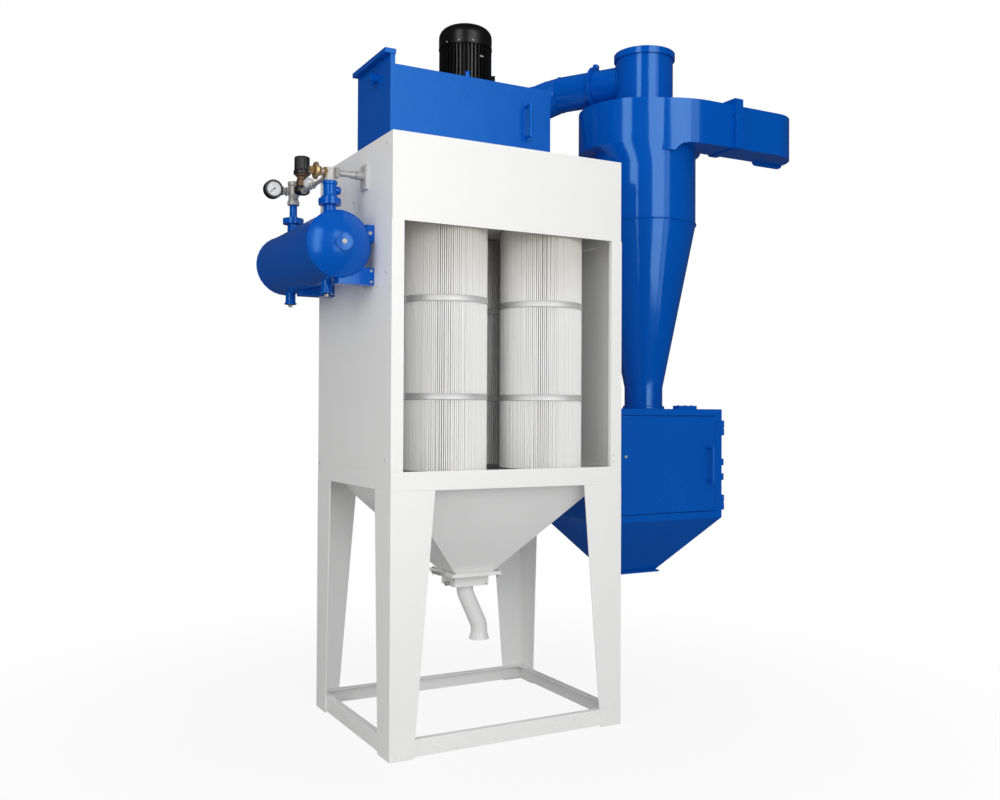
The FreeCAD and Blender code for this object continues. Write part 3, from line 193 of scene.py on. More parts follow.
# %% Raise an outline in levels
def raised(outline, levels):
    """points[u, v]: outline point u moved inward by levels[v][1] at height levels[v][0], ends closed."""
    outline = np.asarray(outline, float)
    edge = np.roll(outline, -1, 0) - outline
    out = np.stack([edge[:, 1], -edge[:, 0]], 1)
    out /= np.linalg.norm(out, axis=1, keepdims=True)
    before = np.roll(out, 1, 0)
    corner = (out + before) / (1 + (out * before).sum(1, keepdims=True))
    rings = [np.column_stack([outline - corner * inset, np.full(len(outline), height)])
             for height, inset in levels]
    middle = outline.mean(0)
    low = np.broadcast_to([*middle, levels[0][0]], (len(outline), 3))
    high = np.broadcast_to([*middle, levels[-1][0]], (len(outline), 3))
    return np.stack([low, *rings, high], 1)


def rectangle(width, depth, radius, steps=3):
    """A rectangle about the origin with round corners, run anticlockwise."""
    corner = np.linspace(0, math.pi / 2, steps + 1)
    centres = np.array([[1, 1], [-1, 1], [-1, -1], [1, -1]]) * [width / 2 - radius, depth / 2 - radius]
    angles = corner[None, :] + (np.arange(4) * math.pi / 2)[:, None]
    arcs = centres[:, None] + radius * np.stack([np.cos(angles), np.sin(angles)], -1)
    return arcs.reshape(-1, 2)


def block(low, high, edge):
    """A box between two corners with rounded upright edges and chamfered ends."""
    low, high = np.asarray(low, float), np.asarray(high, float)
    size = high - low
    outline = rectangle(size[0], size[1], edge)
    levels = [(0, edge), (edge * 0.3, edge * 0.3), (edge, 0), (size[2] - edge, 0),
              (size[2] - edge * 0.3, edge * 0.3), (size[2], edge)]
    return raised(outline, levels) + [*((low + high) / 2)[:2], low[2]]


# %% Set a shape on a face
def facing(axis):
    """A turn whose third column is the axis and whose other two are square to it."""
    w = np.asarray(axis, float) / np.linalg.norm(axis)
    u = np.cross([0, 0, 1] if abs(w[2]) < 0.9 else [0, 1, 0], w)
    u /= np.linalg.norm(u)
    return np.stack([u, np.cross(w, u), w], 1)


def set_on(points, spot, axis):
    """A shape made about the origin, moved to a spot with its height along an axis."""
    return np.asarray(points) @ facing(axis).T + spot


def scatter(piece, points, spots, axis):
    """The same turned shape at many spots, all looking along one axis."""
    local = points @ facing(axis).T
    for spot in np.asarray(spots, float).reshape(-1, 3):
        piece.grid(local + spot, wrap_u=True)
    return piece


def node_box(name):
    low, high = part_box(name)
    return np.array(low), np.array(high)


def round_node(name):
    """The middle of an upright round node, or of one that lies front to back, and its radius."""
    low, high = node_box(name)
    return (low + high) / 2, (high[0] - low[0]) / 2


print("shapes ready")

# %% [markdown]
# Finishes are shader graphs. To keep their arithmetic readable, a Value wraps one socket and lets
# Python's own operators add the Math nodes, so a mask can be written as 1 - noise * 0.5. Any other
# node comes from one method that takes its type, its settings and its inputs.


# %% Shader arithmetic
class Value:
    """A number in a shader graph."""

    def __init__(self, graph, socket):
        self.graph, self.socket = graph, socket

    def maths(self, operation, other, flip=False):
        pair = [other, self] if flip else [self, other]
        return self.graph.node("ShaderNodeMath", {"operation": operation}, {0: pair[0], 1: pair[1]})

    def __add__(self, other):
        return self.maths("ADD", other)

    def __mul__(self, other):
        return self.maths("MULTIPLY", other)

    def __sub__(self, other):
        return self.maths("SUBTRACT", other)

    def __rsub__(self, other):
        return self.maths("SUBTRACT", other, flip=True)

    __radd__ = __add__
    __rmul__ = __mul__


class Graph:
    """The nodes of a material or of the world."""

    def __init__(self, owner):
        owner.use_nodes = True
        self.tree = owner.node_tree
        self.tree.nodes.clear()

    def feed(self, socket, value):
        """A link or a value for a socket. A colour is three numbers, or one for a grey."""
        if isinstance(value, Value):
            self.tree.links.new(value.socket, socket)
        elif socket.type == "RGBA":
            socket.default_value = (*(value if isinstance(value, tuple) else (value,) * 3), 1)
        else:
            socket.default_value = value

    def node(self, kind, settings=None, inputs=None, output=0):
        """Any node: its type, then its settings, then the values or links of its sockets."""
        node = self.tree.nodes.new(kind)
        for name, value in (settings or {}).items():
            setattr(node, name, value)
        for name, value in (inputs or {}).items():
            self.feed(node.inputs[name], value)
        return Value(self, node.outputs[output])


class Finish(Graph):
    """A material under way, with one Principled shader."""

    def __init__(self, name, **fixed):
        self.material = bpy.data.materials.new(name)
        super().__init__(self.material)
        self.shader = self.tree.nodes.new("ShaderNodeBsdfPrincipled")
        self.surface = self.tree.nodes.new("ShaderNodeOutputMaterial").inputs[0]
        self.feed(self.surface, Value(self, self.shader.outputs[0]))
        self.set(**fixed)

    def set(self, **inputs):
        """Values or links for the shader's sockets, named with _ for a space."""
        for name, value in inputs.items():
            self.feed(self.shader.inputs[name.replace("_", " ")], value)
        return self

    def place(self, stretch=(1, 1, 1)):
        """Object coordinates in metres, scaled along each axis."""
        spot = self.node("ShaderNodeTexCoord", output=3)
        return self.node("ShaderNodeMapping", {}, {"Vector": spot, "Scale": stretch})

    def noise(self, scale, detail, stretch=(1, 1, 1)):
        """Cloudy values from 0 to 1, about 1 / scale metres apart."""
        return self.node("ShaderNodeTexNoise", {},
                         {"Vector": self.place(stretch), "Scale": scale, "Detail": detail})

    def between(self, value, low, high, first=0.0, last=1.0):
        """The value mapped smoothly from a range to another range."""
        return self.node("ShaderNodeMapRange", {"interpolation_type": "SMOOTHSTEP"},
                         {"Value": value, "From Min": low, "From Max": high,
                          "To Min": first, "To Max": last})

    def blend(self, amount, first, second):
        """A colour that runs from first to second as the amount goes from 0 to 1."""
        return self.node("ShaderNodeMix", {"data_type": "RGBA"}, {"Factor": amount, 6: first, 7: second}, 2)

    def bump(self, height, distance, strength, normal=None):
        """Surface relief from a height value, in metres at full strength."""
        inputs = {"Height": height, "Distance": distance, "Strength": strength}
        if normal:
            inputs["Normal"] = normal
        return self.node("ShaderNodeBump", {}, inputs)


print("Value, Graph and Finish ready")

# %% [markdown]
# The white parts are powder coated: a satin skin with a faint orange-peel ripple and a hardly visible
# unevenness of tone. Towards the floor the legs are a shade duller, with a few scuffs.


# %% White powder coat
SCUFF_TOP = 0.22


def powder_coat():
    """Tone = cloud, darkened by scuffs that fade out SCUFF_TOP above the floor."""
    finish = Finish("white_powder_coat", Specular_IOR_Level=0.4)
    cloud = finish.noise(3.0, 3.0)
    peel = finish.noise(420.0, 1.0)
    height = finish.node("ShaderNodeSeparateXYZ", {}, {"Vector": finish.place()}, output=2)
    low = 1 - finish.between(height, 0.0, SCUFF_TOP)
    tone = finish.blend(cloud * 0.6, (0.905, 0.905, 0.90), (0.885, 0.885, 0.88))
    scuffs = finish.between(finish.noise(38.0, 6.0, (1, 1, 2.2)), 0.62, 0.74)
    tone = finish.blend(low * scuffs * 0.5, tone, (0.62, 0.61, 0.59))
    finish.set(Base_Color=tone, Roughness=0.34 + cloud * 0.1 + low * 0.1,
               Normal=finish.bump(peel, 0.00012, 0.35))
    return finish.material


white_coat = powder_coat()
print(white_coat.name)

# %% [markdown]
# The blue parts carry a sprayed enamel, deep and saturated. It mirrors three tall lamps as stripes of
# a lighter blue, and shows slight waves where the sheet was rolled or dressed by hand.


# %% Blue enamel
def enamel(name, wave, gloss, sheen):
    """A blue finish from its depth of waves, its roughness and the tint of its reflections."""
    finish = Finish(name, Specular_IOR_Level=0.45, Specular_Tint=sheen)
    cloud = finish.noise(4.0, 3.0)
    waves = finish.noise(9.0, 1.0)
    peel = finish.noise(260.0, 1.0)
    tone = finish.blend(cloud, (0.0, 0.082, 0.45), (0.0, 0.094, 0.49))
    ripple = finish.bump(waves, wave, 0.3)
    finish.set(Base_Color=tone, Roughness=gloss + cloud * 0.05,
               Normal=finish.bump(peel, 0.0001, 0.25, ripple))
    return finish.material


blue_sheet = enamel("blue_enamel_on_flat_sheet", 0.003, 0.24, (0.22, 0.64, 1.0))
blue_smooth = enamel("blue_enamel_on_round_work", 0.0015, 0.09, (0.42, 0.78, 1.0))
blue_satin = enamel("blue_enamel_on_the_tank", 0.0015, 0.2, (0.32, 0.7, 1.0))
print(blue_sheet.name, blue_smooth.name, blue_satin.name)


# %% Black motor paint, metals, plastics and glass
GRAIN_DEPTH = 0.2 * MM


def grained(name, colour, other, roughness, scale=300.0, stretch=(1, 1, 1), **fixed):
    """A finish whose tone and relief follow one noise."""
    finish = Finish(name, **fixed)
    grain = finish.noise(scale, 3.0, stretch)
    cloud = finish.noise(14.0, 3.0)
    finish.set(Base_Color=finish.blend(cloud, colour, other), Roughness=roughness + cloud * 0.12,
               Normal=finish.bump(grain, GRAIN_DEPTH, 0.4))
    return finish.material


black_paint = grained("black_motor_paint", 0.003, 0.006, 0.26, Specular_IOR_Level=0.3)
zinc = grained("zinc_plating", (0.5, 0.49, 0.465), (0.4, 0.39, 0.37), 0.42, Metallic=0.3)
galvanised = grained("galvanised_strap", 0.66, 0.58, 0.5, 180.0, (1, 1, 9), Metallic=0.3)
brass = grained("brass", (0.6, 0.42, 0.18), (0.46, 0.3, 0.12), 0.32, Metallic=0.7)
bronze = grained("brown_bronze", (0.16, 0.095, 0.05), (0.09, 0.055, 0.03), 0.4, Metallic=0.5)
black_plastic = grained("black_plastic", 0.006, 0.012, 0.34)
dial_white = grained("dial_white", (0.84, 0.84, 0.82), (0.8, 0.8, 0.78), 0.5)
dial_black = grained("dial_black", 0.01, 0.02, 0.5)
rubber = grained("black_rubber", 0.018, 0.03, 0.6)
cap_steel = grained("cartridge_end_steel", (0.6, 0.61, 0.62), (0.5, 0.51, 0.52), 0.38, Metallic=1.0)
lens_glass = Finish("gauge_glass", Base_Color=(1, 1, 1), Roughness=0.03, Alpha=0.04).material
print("finishes:", len(bpy.data.materials))

# %% [markdown]
# The filter media is a matt polyester felt, folded into deep pleats. Its valleys carry painted shade, which
# the mesh marks with an attribute that grows from 0 at a crest towards the bottom of a fold. Near the top
# the media carries painted shade from under the cabinet's roof.


# %% Pleated filter media
def filter_media():
    finish = Finish("pleated_filter_media", Specular_IOR_Level=0.2)
    fold = finish.node("ShaderNodeAttribute", {"attribute_name": "fold"}, output=2)
    fibre = finish.noise(900.0, 3.0)
    cloud = finish.noise(6.0, 4.0, (1, 1, 0.4))
    tone = finish.blend(cloud * 0.6, (0.95, 0.95, 0.945), (0.91, 0.91, 0.9))
    height = finish.node("ShaderNodeSeparateXYZ", {}, {"Vector": finish.place()}, output=2)
    # Painted shade under the cabinet's roof: the media greys towards the top of the cartridges.
    top_shade = finish.between(height, 1.6, 1.93, 0.0, 0.95)
    tone = finish.blend(top_shade, tone, (0.7, 0.67, 0.62))
    # Painted shade: the pleat valleys turn grey as the fold attribute grows.
    valley_shaded = finish.blend(fold * 0.75, tone, (0.34, 0.335, 0.325))
    finish.set(Base_Color=valley_shaded, Roughness=0.9, Normal=finish.bump(fibre, 0.0002, 0.5))
    return finish.material


media = filter_media()
SLOTS = {
    blue_sheet.name: "blue_paint", blue_smooth.name: "blue_paint", black_paint.name: "black_paint",
    zinc.name: "fitting_steel", brass.name: "fitting_steel", bronze.name: "fitting_steel",
    galvanised.name: "galvanised_band", cap_steel.name: "galvanised_band",
    black_plastic.name: "regulator_black", dial_black.name: "regulator_black",
    media.name: "filter_media", rubber.name: "filter_media"}
print("slots:", SLOTS)

# %% [markdown]
# The frame's own nodes keep their shape. They get their finish here, and a small Bevel, because a
# real sheet edge is never sharp: the rounding is what catches the light along every fold.

# %% Dress the CAD nodes
WHITE_WORDS = ("leg_", "foot_rail", "top_frame", "hopper", "slide_gate", "discharge", "side_panel",
               "back_panel", "opening_jamb", "tube_sheet", "clean_air")
SMOOTH_WORDS = ("air_tank", "cyclone", "outlet", "transfer_duct", "inlet_elbow")


def finish_for(name):
    if name.startswith(WHITE_WORDS):
        return white_coat
    if name.startswith("motor"):
        return black_paint
    if name == "supply_pipe":
        return zinc
    if name in ("air_tank_shell", "air_tank_ends"):
        return blue_satin
    return blue_smooth if name.startswith(SMOOTH_WORDS) else blue_sheet


EDGE = 1.4 * MM
for name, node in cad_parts.items():
    node.data.materials.clear()
    node.data.materials.append(finish_for(name))
    weld = node.modifiers.new("merge", "WELD")
    weld.merge_threshold = 2e-5
    bevel = node.modifiers.new("edge", "BEVEL")
    bevel.width = EDGE
    bevel.segments = 2
    bevel.limit_method = "ANGLE"
    bevel.angle_limit = math.radians(40)
    bevel.use_clamp_overlap = True
    even = node.modifiers.new("even_faces", "WEIGHTED_NORMAL")
    even.keep_sharp = True
print("dressed", len(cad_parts), "nodes")

# %% [markdown]
# A cartridge is one long strip of media folded to and fro and closed into a ring. The real fold has a
# wide round crest and a tight valley. A wave in radius gives that, and small slow wanderings of each
# pleat keep the ring from looking machined.

# %% Fold the media
PLEATS, COLUMNS, ROWS = 128, 10, 12
PLEAT_DEPTH, SEAM_DEPTH = 13 * MM, 8 * MM
WANDER = 0.0006
SEAM_HEADING = math.radians(-118)
seed = np.random.default_rng(7)


def pleated(low, high, seam):
    """Radius = crest - depth * |2p - 1| ^ 4, where p is the place within a pleat.

    Near the seam the pleats stand apart, so their valleys are deeper there. Returns the grid and the
    painted shade of the valleys, stronger near the seam."""
    middle = (low + high) / 2
    outer = (high[0] - low[0]) / 2 - 1.2 * MM
    step = np.arange(PLEATS * COLUMNS)
    place = (step % COLUMNS) / COLUMNS
    pleat = step // COLUMNS
    fold = np.abs(2 * place - 1) ** 4
    height = np.linspace(low[2] + 11 * MM, high[2] - 5 * MM, ROWS)
    drift = seed.normal(0, 1, (PLEATS, 3))
    sway = (drift[pleat, 0, None] * np.sin(height * 5 + drift[pleat, 1, None] * 2)
            + drift[pleat, 2, None] * 0.6) * WANDER
    angle = 2 * math.pi * step[:, None] / (PLEATS * COLUMNS) + sway / outer
    from_seam = np.angle(np.exp(1j * (angle - seam)))
    deep = PLEAT_DEPTH + SEAM_DEPTH * np.exp(-(from_seam / 0.1) ** 2)
    crest = outer - np.abs(drift[pleat, 1, None]) * WANDER
    radius = crest - deep * fold[:, None]
    grid = np.stack([middle[0] + radius * np.cos(angle), middle[1] + radius * np.sin(angle),
                     np.broadcast_to(height, angle.shape)], -1)
    # Painted shade of the valleys: the fold's depth, kept stronger near the seam.
    amount = fold[:, None] * (0.55 + 0.45 * np.exp(-(from_seam / 0.16) ** 2))
    return grid, np.broadcast_to(amount, angle.shape)


cartridges = [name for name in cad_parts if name.startswith("cartridge_")]
cartridges.remove("cartridge_bands")
for name in cartridges:
    low, high = node_box(name)
    grid, fold = pleated(low, high, SEAM_HEADING)
    ring = Piece(name.replace("cartridge", "media")).grid(grid, wrap_u=True)
    made = ring.done(media, replaces=[name], angle=60, turn_out=False)
    mark = made.data.attributes.new("fold", "FLOAT", "POINT")
    mark.data.foreach_set("value", fold.reshape(-1).astype(np.float32))

# %% [markdown]
# A pressed pan closes the bottom of a cartridge; its rim is rolled round the pleats. A plate with a
# rubber ring closes the top against the tube sheet.

# %% Cartridge end caps
caps = Piece("cartridge_end_caps")
seals = Piece("cartridge_seals")
for name in cartridges:
    low, high = node_box(name)
    (x, y, _), radius = round_node(name)
    pan = rounded([(0, 0), *out_from(radius, (-3, 0), (0, 3), (0, 12), (-2, 12), (-14, 10))], 3 * MM)
    caps.put(turned(pan, 96), (x, y, low[2]))
    plate = rounded(out_from(radius, (-60, -7), (-1.5, -7), (0, -5), (0, -1.5), (-50, -1.5)), 1.5 * MM)
    caps.put(turned(plate, 96), (x, y, high[2]))
    seal = out_from(radius, (-40, -1.6), (-8, -1.6), (-8, -0.1), (-40, -0.1))
    seals.loop(turned(seal, 64), (x, y, high[2]))
caps.done(cap_steel)
seals.done(rubber)

# %% [markdown]
# Two thin straps hold each cartridge's pleats in step. Each is a rolled strip with its edges turned
# in, closed by a folded clasp on the side that faces the cabinet wall.

# %% Clamp straps
STRAP_HALF = 11.5 * MM
band_low, band_high = node_box("cartridge_bands")
straps = Piece("cartridge_straps")
clasp = raised(rectangle(34 * MM, 22 * MM, 2 * MM), mm((0, 0), (2, 0), (3, 1)))
for name in cartridges:
    (x, y, _), radius = round_node(name)
    side = math.copysign(1, x)
    strip = out_from(radius, (-1, -11.5), (0.6, -11.5), (1.4, -10), (0.4, -8),
                     (0.4, 8), (1.4, 10), (0.6, 11.5), (-1, 11.5))
    for level in (band_low[2] + STRAP_HALF, band_high[2] - STRAP_HALF):
        straps.loop(turned(strip, 128), (x, y, level))
        straps.put(clasp, (x + side * (radius + 0.8 * MM), y, level), (side, 0, 0))
straps.done(galvanised, replaces=["cartridge_bands"])

# %% [markdown]
# Fasteners are small but they tell the size of the machine. One hexagon head with its washer and one
# round screw head are worked out once and repeated at every joint.


# %% Heads of bolts and screws
def hexagon_head(across):
    """A six-sided head with a rounded top, standing on a washer, for a given size across its flats."""
    corner = across / math.sqrt(3)
    return turned([(0, 0.12 * across), (corner, 0.12 * across), (corner, 0.62 * across),
                   (corner * 0.88, 0.72 * across), (0, 0.74 * across)], 6)


def washer(across):
    return turned(across * np.array([(0, 0), (1.02, 0), (1.02, 0.1), (0.96, 0.13), (0, 0.13)]), 20)


def dome_head(across):
    """A round screw head: a low dome on a short edge."""
    bow = np.linspace(0, math.pi / 2, 5)
    rise = np.column_stack([across / 2 * np.cos(bow), across * 0.12 + across * 0.24 * np.sin(bow)])
    return turned(np.concatenate([[(0, 0), (across / 2, 0)], rise]), 18)


def bolts(piece, spots, axis, across):
    scatter(piece, washer(across), spots, axis)
    return scatter(piece, hexagon_head(across), spots, axis)


def dots(piece, spots, axis, across):
    return scatter(piece, dome_head(across), spots, axis)


def circle(centre, radius, count, start):
    """Evenly spaced spots on a level circle, the first turned by start degrees."""
    angle = math.radians(start) + np.arange(count) * 2 * math.pi / count
    return np.asarray(centre, float) + radius * np.column_stack([np.cos(angle), np.sin(angle), 0 * angle])


OCTAGON = np.arange(8) * math.pi / 4


def bead(piece, centre, radius, axis=UP, thick=2.2 * MM, sides=96):
    """A weld bead: a small round section carried round a circle, with a slow ripple along it."""
    turn = np.arange(sides) * 2 * math.pi / sides
    swell = thick * (1 + 0.12 * np.sin(turn * 31))[:, None]
    out = radius + swell * np.cos(OCTAGON)
    ring = np.stack([out * np.cos(turn)[:, None], out * np.sin(turn)[:, None],
                     np.broadcast_to(swell * np.sin(OCTAGON), out.shape)], -1)
    return piece.loop(ring, centre, axis)


print("heads ready")

# %% [markdown]
# The side sheets are held to the inner frame by a few domed screws along each edge. Two more hold the
# right jamb of the front opening.

# %% Screws of the cabinet's sides
SCREW = 12 * MM
panel_low, panel_high = node_box("side_panel_left")
right_x = node_box("side_panel_right")[1][0]
roof = node_box("clean_air_plenum")[1][2]
front_row, rear_row = panel_low[1] + 46 * MM, panel_high[1] - 28 * MM
screws = Piece("cabinet_side_screws")
for x, side in ((panel_low[0], -1), (right_x, 1)):
    spots = [(x, row, level - drop * MM) for row, drop in ((front_row, 0), (rear_row, 42))
             for level in (panel_low[2] + 41 * MM, 1.709)]
    spots += [(x, -0.265, 1.664), (x, -0.142, 1.672)]
    dots(screws, spots, (side, 0, 0), SCREW)
    inset = x - side * 2 * MM
    spots = [(front_row, 33), (-5 * MM, 188), (rear_row, 33)]
    dots(screws, [(inset, y, roof - drop * MM) for y, drop in spots], (side, 0, 0), SCREW)
jamb = node_box("opening_jamb_right")[0]
dots(screws, [(jamb[0] + 9 * MM, jamb[1], z) for z in (1.025, 1.051)], FRONT, 7 * MM)
screws.done(galvanised, slot="fitting_steel")

# %% [markdown]
# The motor is cast iron with upright fins, closed above by a pressed cowl. Air enters through a grille
# in the cowl's top. The cables end in a box whose lid has a screw at each corner.

# %% Motor body and cowl
FINS, STEPS = 44, 10
BODY_RADIUS = 84 * MM
COWL_HEIGHT = 86 * MM
motor_low, motor_high = node_box("motor_body")
cowl_foot = node_box("motor_cowl")[0][2]
(motor_x, motor_y, _), COWL_RADIUS = round_node("motor_cowl")
place = (np.arange(FINS * STEPS) % STEPS) / STEPS
fin = np.clip(3.2 - np.abs(place - 0.5) * 11, 0, 1)
finned = spindle(FINS * STEPS, 0, (84, 10), (84, 14), (84, 152), (84, 156))
growth = 1 + (COWL_RADIUS - BODY_RADIUS - 1 * MM) / BODY_RADIUS * fin
finned[:, 2:4, :2] *= growth[:, None, None]
base = np.array([motor_x, motor_y, motor_low[2]])
trim = Piece("motor_fins").put(finned, base)
foot = spindle(96, 2, (104, 0), (104, 12), (94, 16))
trim.put(foot, base)
trim.box((motor_x, motor_y - 29 * MM, motor_low[2] + 18 * MM),
         (motor_high[0], motor_y + 29 * MM, motor_low[2] + 70 * MM), 5 * MM)
bow = np.linspace(0, math.pi / 2, 12)
shoulder = np.column_stack([COWL_RADIUS - 52 * MM * (1 - np.cos(bow)), 44 * MM + 42 * MM * np.sin(bow)])
shell = np.concatenate([[(0, 2 * MM)], out_from(COWL_RADIUS, (-4, 2), (-4, 0), (1, 0), (1, 3), (0, 4)),
                        shoulder, [(0, COWL_HEIGHT)]])
brim = np.array([motor_x, motor_y, cowl_foot])
cowl = Piece("motor_cowl_shell").put(turned(shell, 120), brim)
top = brim + [0, 0, COWL_HEIGHT]
for radius in np.arange(8, 48, 7) * MM:
    cowl.loop(turned(out_from(radius, (0, -1), (3, -1), (3, 1.6), (0, 1.6)), 48), top)
spoke = raised(rectangle(90 * MM, 3 * MM, 1 * MM), mm((-1, 0), (1.2, 0), (1.6, 0.4)))
for angle in range(0, 180, 45):
    cowl.put(spun(spoke, math.radians(angle)), top)
cowl.done(black_paint, replaces=["motor_cowl"])
small = Piece("motor_cowl_screws")
for angle in np.radians([20, 80, 140, 200, 230, 260, 320]):
    out = np.array([math.cos(angle), math.sin(angle), 0])
    dots(small, [brim + [0, 0, 9 * MM] + out * COWL_RADIUS], out, 6 * MM)
dots(small, [brim - [0, 0, 46 * MM] + out * COWL_RADIUS
             for out in np.array([(0.15, -0.989, 0), (0.23, -0.973, 0)])], (0.2, -0.98, 0), 7 * MM)
small.done(zinc)
lid_level = motor_low[2] + 44 * MM
lid = raised(rectangle(60 * MM, 54 * MM, 4 * MM), mm((-1, 0), (3, 0), (5, 2)))
trim.put(lid, (motor_high[0], motor_y, lid_level), RIGHT)
trim.done(black_paint, replaces=["motor_body"])
lid_screws = Piece("motor_box_screws")
dots(lid_screws, [(motor_high[0] + 4 * MM, motor_y + a * MM, lid_level + b * MM)
                  for a in (-23, 23) for b in (-21, 21)], RIGHT, 6 * MM)
bolts(lid_screws, circle(base + [0, 0, 12 * MM], 99 * MM, 4, 45), UP, 8 * MM)
lid_screws.done(black_paint)

# %% [markdown]
# The end of the fan housing carries a stub with a pointed lever. Screws hold the handle's strip and the
# end sheet, and a small lug stands on the top edge in front of the motor.

# %% Fan housing fittings
FAN_FRONT = -0.349
fan_top = node_box("fan_housing")[1][2]
fan_end = node_box("fan_end_frame")[0][0]
fan = Piece("fan_housing_fittings")
lever = mm((-8, 14), (14, 14), (42, 6), (40, -2), (16, -8), (4, -30), (-12, -12))
hub = spindle(28, 0, (13, -2), (13, 9), (11, 11))
to_left = np.array([(0, 1, 0), (0, 0, 1), (-1, 0, 0)])
for shape in (raised(lever, mm((0, 0), (5, 0), (6, 1))), hub):
    fan.put(shape @ to_left, (fan_end + 6 * MM, -0.221, 2.425))
fan.box((-0.178, FAN_FRONT + 3 * MM, fan_top - 1 * MM),
        (-0.162, FAN_FRONT + 15 * MM, fan_top + 22 * MM), 2 * MM)
bolts(fan, [(72 * MM, FAN_FRONT - 3 * MM, z) for z in (2.241, 2.381)], FRONT, 5 * MM)
for level in (2.468, 2.222):
    dots(fan, [(-0.478, y * MM, level) for y in (-300, -190, -80)], LEFT, 8 * MM)
fan.done(blue_smooth)

# %% [markdown]
# The round duct is welded to the hood and to the pipe, and a ring in two halves joins it in between. A
# pair of ears at the top of the ring takes the bolt that closes it.

# %% Duct ring and its ears
ALONG = np.array([0.52, -0.854, 0.0])
ACROSS = np.cross(UP, ALONG)
RING_RADIUS, DUCT_RADIUS, PIPE_RADIUS = 0.096, 0.077, 0.122
PIPE_AXIS = [0.7975, -0.115, 0]
duct_start = np.array([0.5895, 0.2266, 2.650])
ring_middle = duct_start + ALONG * 0.171
duct = Piece("duct_ring_fittings")
bead(duct, duct_start + ALONG * 1 * MM, DUCT_RADIUS + 0.5 * MM, ALONG)
ear = raised(rectangle(22 * MM, 20 * MM, 4 * MM), mm((0, 0), (4, 0), (5, 1)))
for side in (-1, 1):
    duct.put(ear, ring_middle + [0, 0, RING_RADIUS + 3 * MM] + ACROSS * side * 6 * MM, ACROSS * side)
print("duct starts at", duct_start, "ring at", ring_middle)

# %% [markdown]
# The weld at the pipe lies where the duct's wall meets the pipe's. Each line of the duct's wall is
# followed until its distance from the pipe's axis equals the pipe's radius.

# %% Weld of the duct on the pipe
around = np.linspace(0, 2 * math.pi, 72, endpoint=False)
radial = np.cos(around)[:, None] * ACROSS + np.sin(around)[:, None] * np.array([0, 0, 1.0])
start = (duct_start + radial * DUCT_RADIUS - PIPE_AXIS)[:, :2]
inward = start @ ALONG[:2]
reach = -inward - np.sqrt(inward ** 2 - (start ** 2).sum(1) + PIPE_RADIUS ** 2)
saddle = duct_start + radial * DUCT_RADIUS + ALONG * reach[:, None]
duct.grid(saddle[:, None] + 5.5 * MM * (np.cos(OCTAGON)[:, None] * radial[:, None]
                                        + np.sin(OCTAGON)[:, None] * ALONG), wrap_u=True, wrap_v=True)
duct.done(blue_smooth)
ring_bolts = Piece("duct_ring_bolts")
top_bolt = ring_middle + [0, 0, RING_RADIUS + 4 * MM]
shank = spun(spindle(10, 0, (2.4, -16), (2.4, 16)), math.pi / 2)
ring_bolts.put(shank, top_bolt, ACROSS)
for side in (-1, 1):
    bolts(ring_bolts, [top_bolt + ACROSS * side * 11 * MM], ACROSS * side, 8 * MM)
ring_bolts.done(blue_smooth)

# %% [markdown]
# The inlet's flange pair is bolted all round. Beads show where the pipe enters the head and where the
# cone meets the barrel, and the neck's flange sits on the dust box with small bolts.

# %% Cyclone fittings
BARREL = 0.219
INSET = 9 * MM
INLET_DEPTH = 0.182
INLET_FLOOR, INLET_ROOF = 2.328, 2.542
(axis_x, axis_y, _), _ = round_node("outlet_pipe")
neck_foot = node_box("cyclone_cone")[0][2]
elbow_x, elbow_y, _ = node_box("inlet_elbow")[0]
head_x = node_box("cyclone_head")[1][0]
ys = np.linspace(elbow_y + INSET, elbow_y + INLET_DEPTH - INSET, 4)
zs = np.linspace(INLET_FLOOR + INSET, INLET_ROOF - INSET, 4)
rim = [(y, z) for y in ys for z in zs if y in (ys[0], ys[-1]) or z in (zs[0], zs[-1])]
cyclone = Piece("cyclone_bolts")
for x, side in ((head_x - 18 * MM, -1), (elbow_x + 18 * MM, 1)):
    bolts(cyclone, [(x, y, z) for y, z in rim], (side, 0, 0), 8 * MM)
bolts(cyclone, circle([axis_x, axis_y, neck_foot + 10 * MM], 85.5 * MM, 12, 8), UP, 5 * MM)
cyclone.done(blue_smooth)
welds = Piece("cyclone_weld_beads")
bead(welds, [axis_x, axis_y, 2.5145], PIPE_RADIUS + 0.4 * MM, UP, 2.6 * MM, 128)
bead(welds, [axis_x, axis_y, 2.0165], BARREL + 0.4 * MM, UP, 2.0 * MM, 160)
bead(welds, [axis_x, axis_y, neck_foot + 11 * MM], 81.2 * MM, UP, 2.0 * MM)
welds.done(blue_smooth)

# %% [markdown]
# The head's round wall stands further out than the barrel's on the left. A welded skirt eases the one
# into the other, so that the front runs down from head to barrel without a step.

# %% Skirt between head and barrel
HEAD_RADIUS, HEAD_SHIFT = 0.262, np.array([3.7 * MM, 42.8 * MM])
HEAD_FLOOR = 2.333
AROUND, PROUD = 60, 0.3 * MM


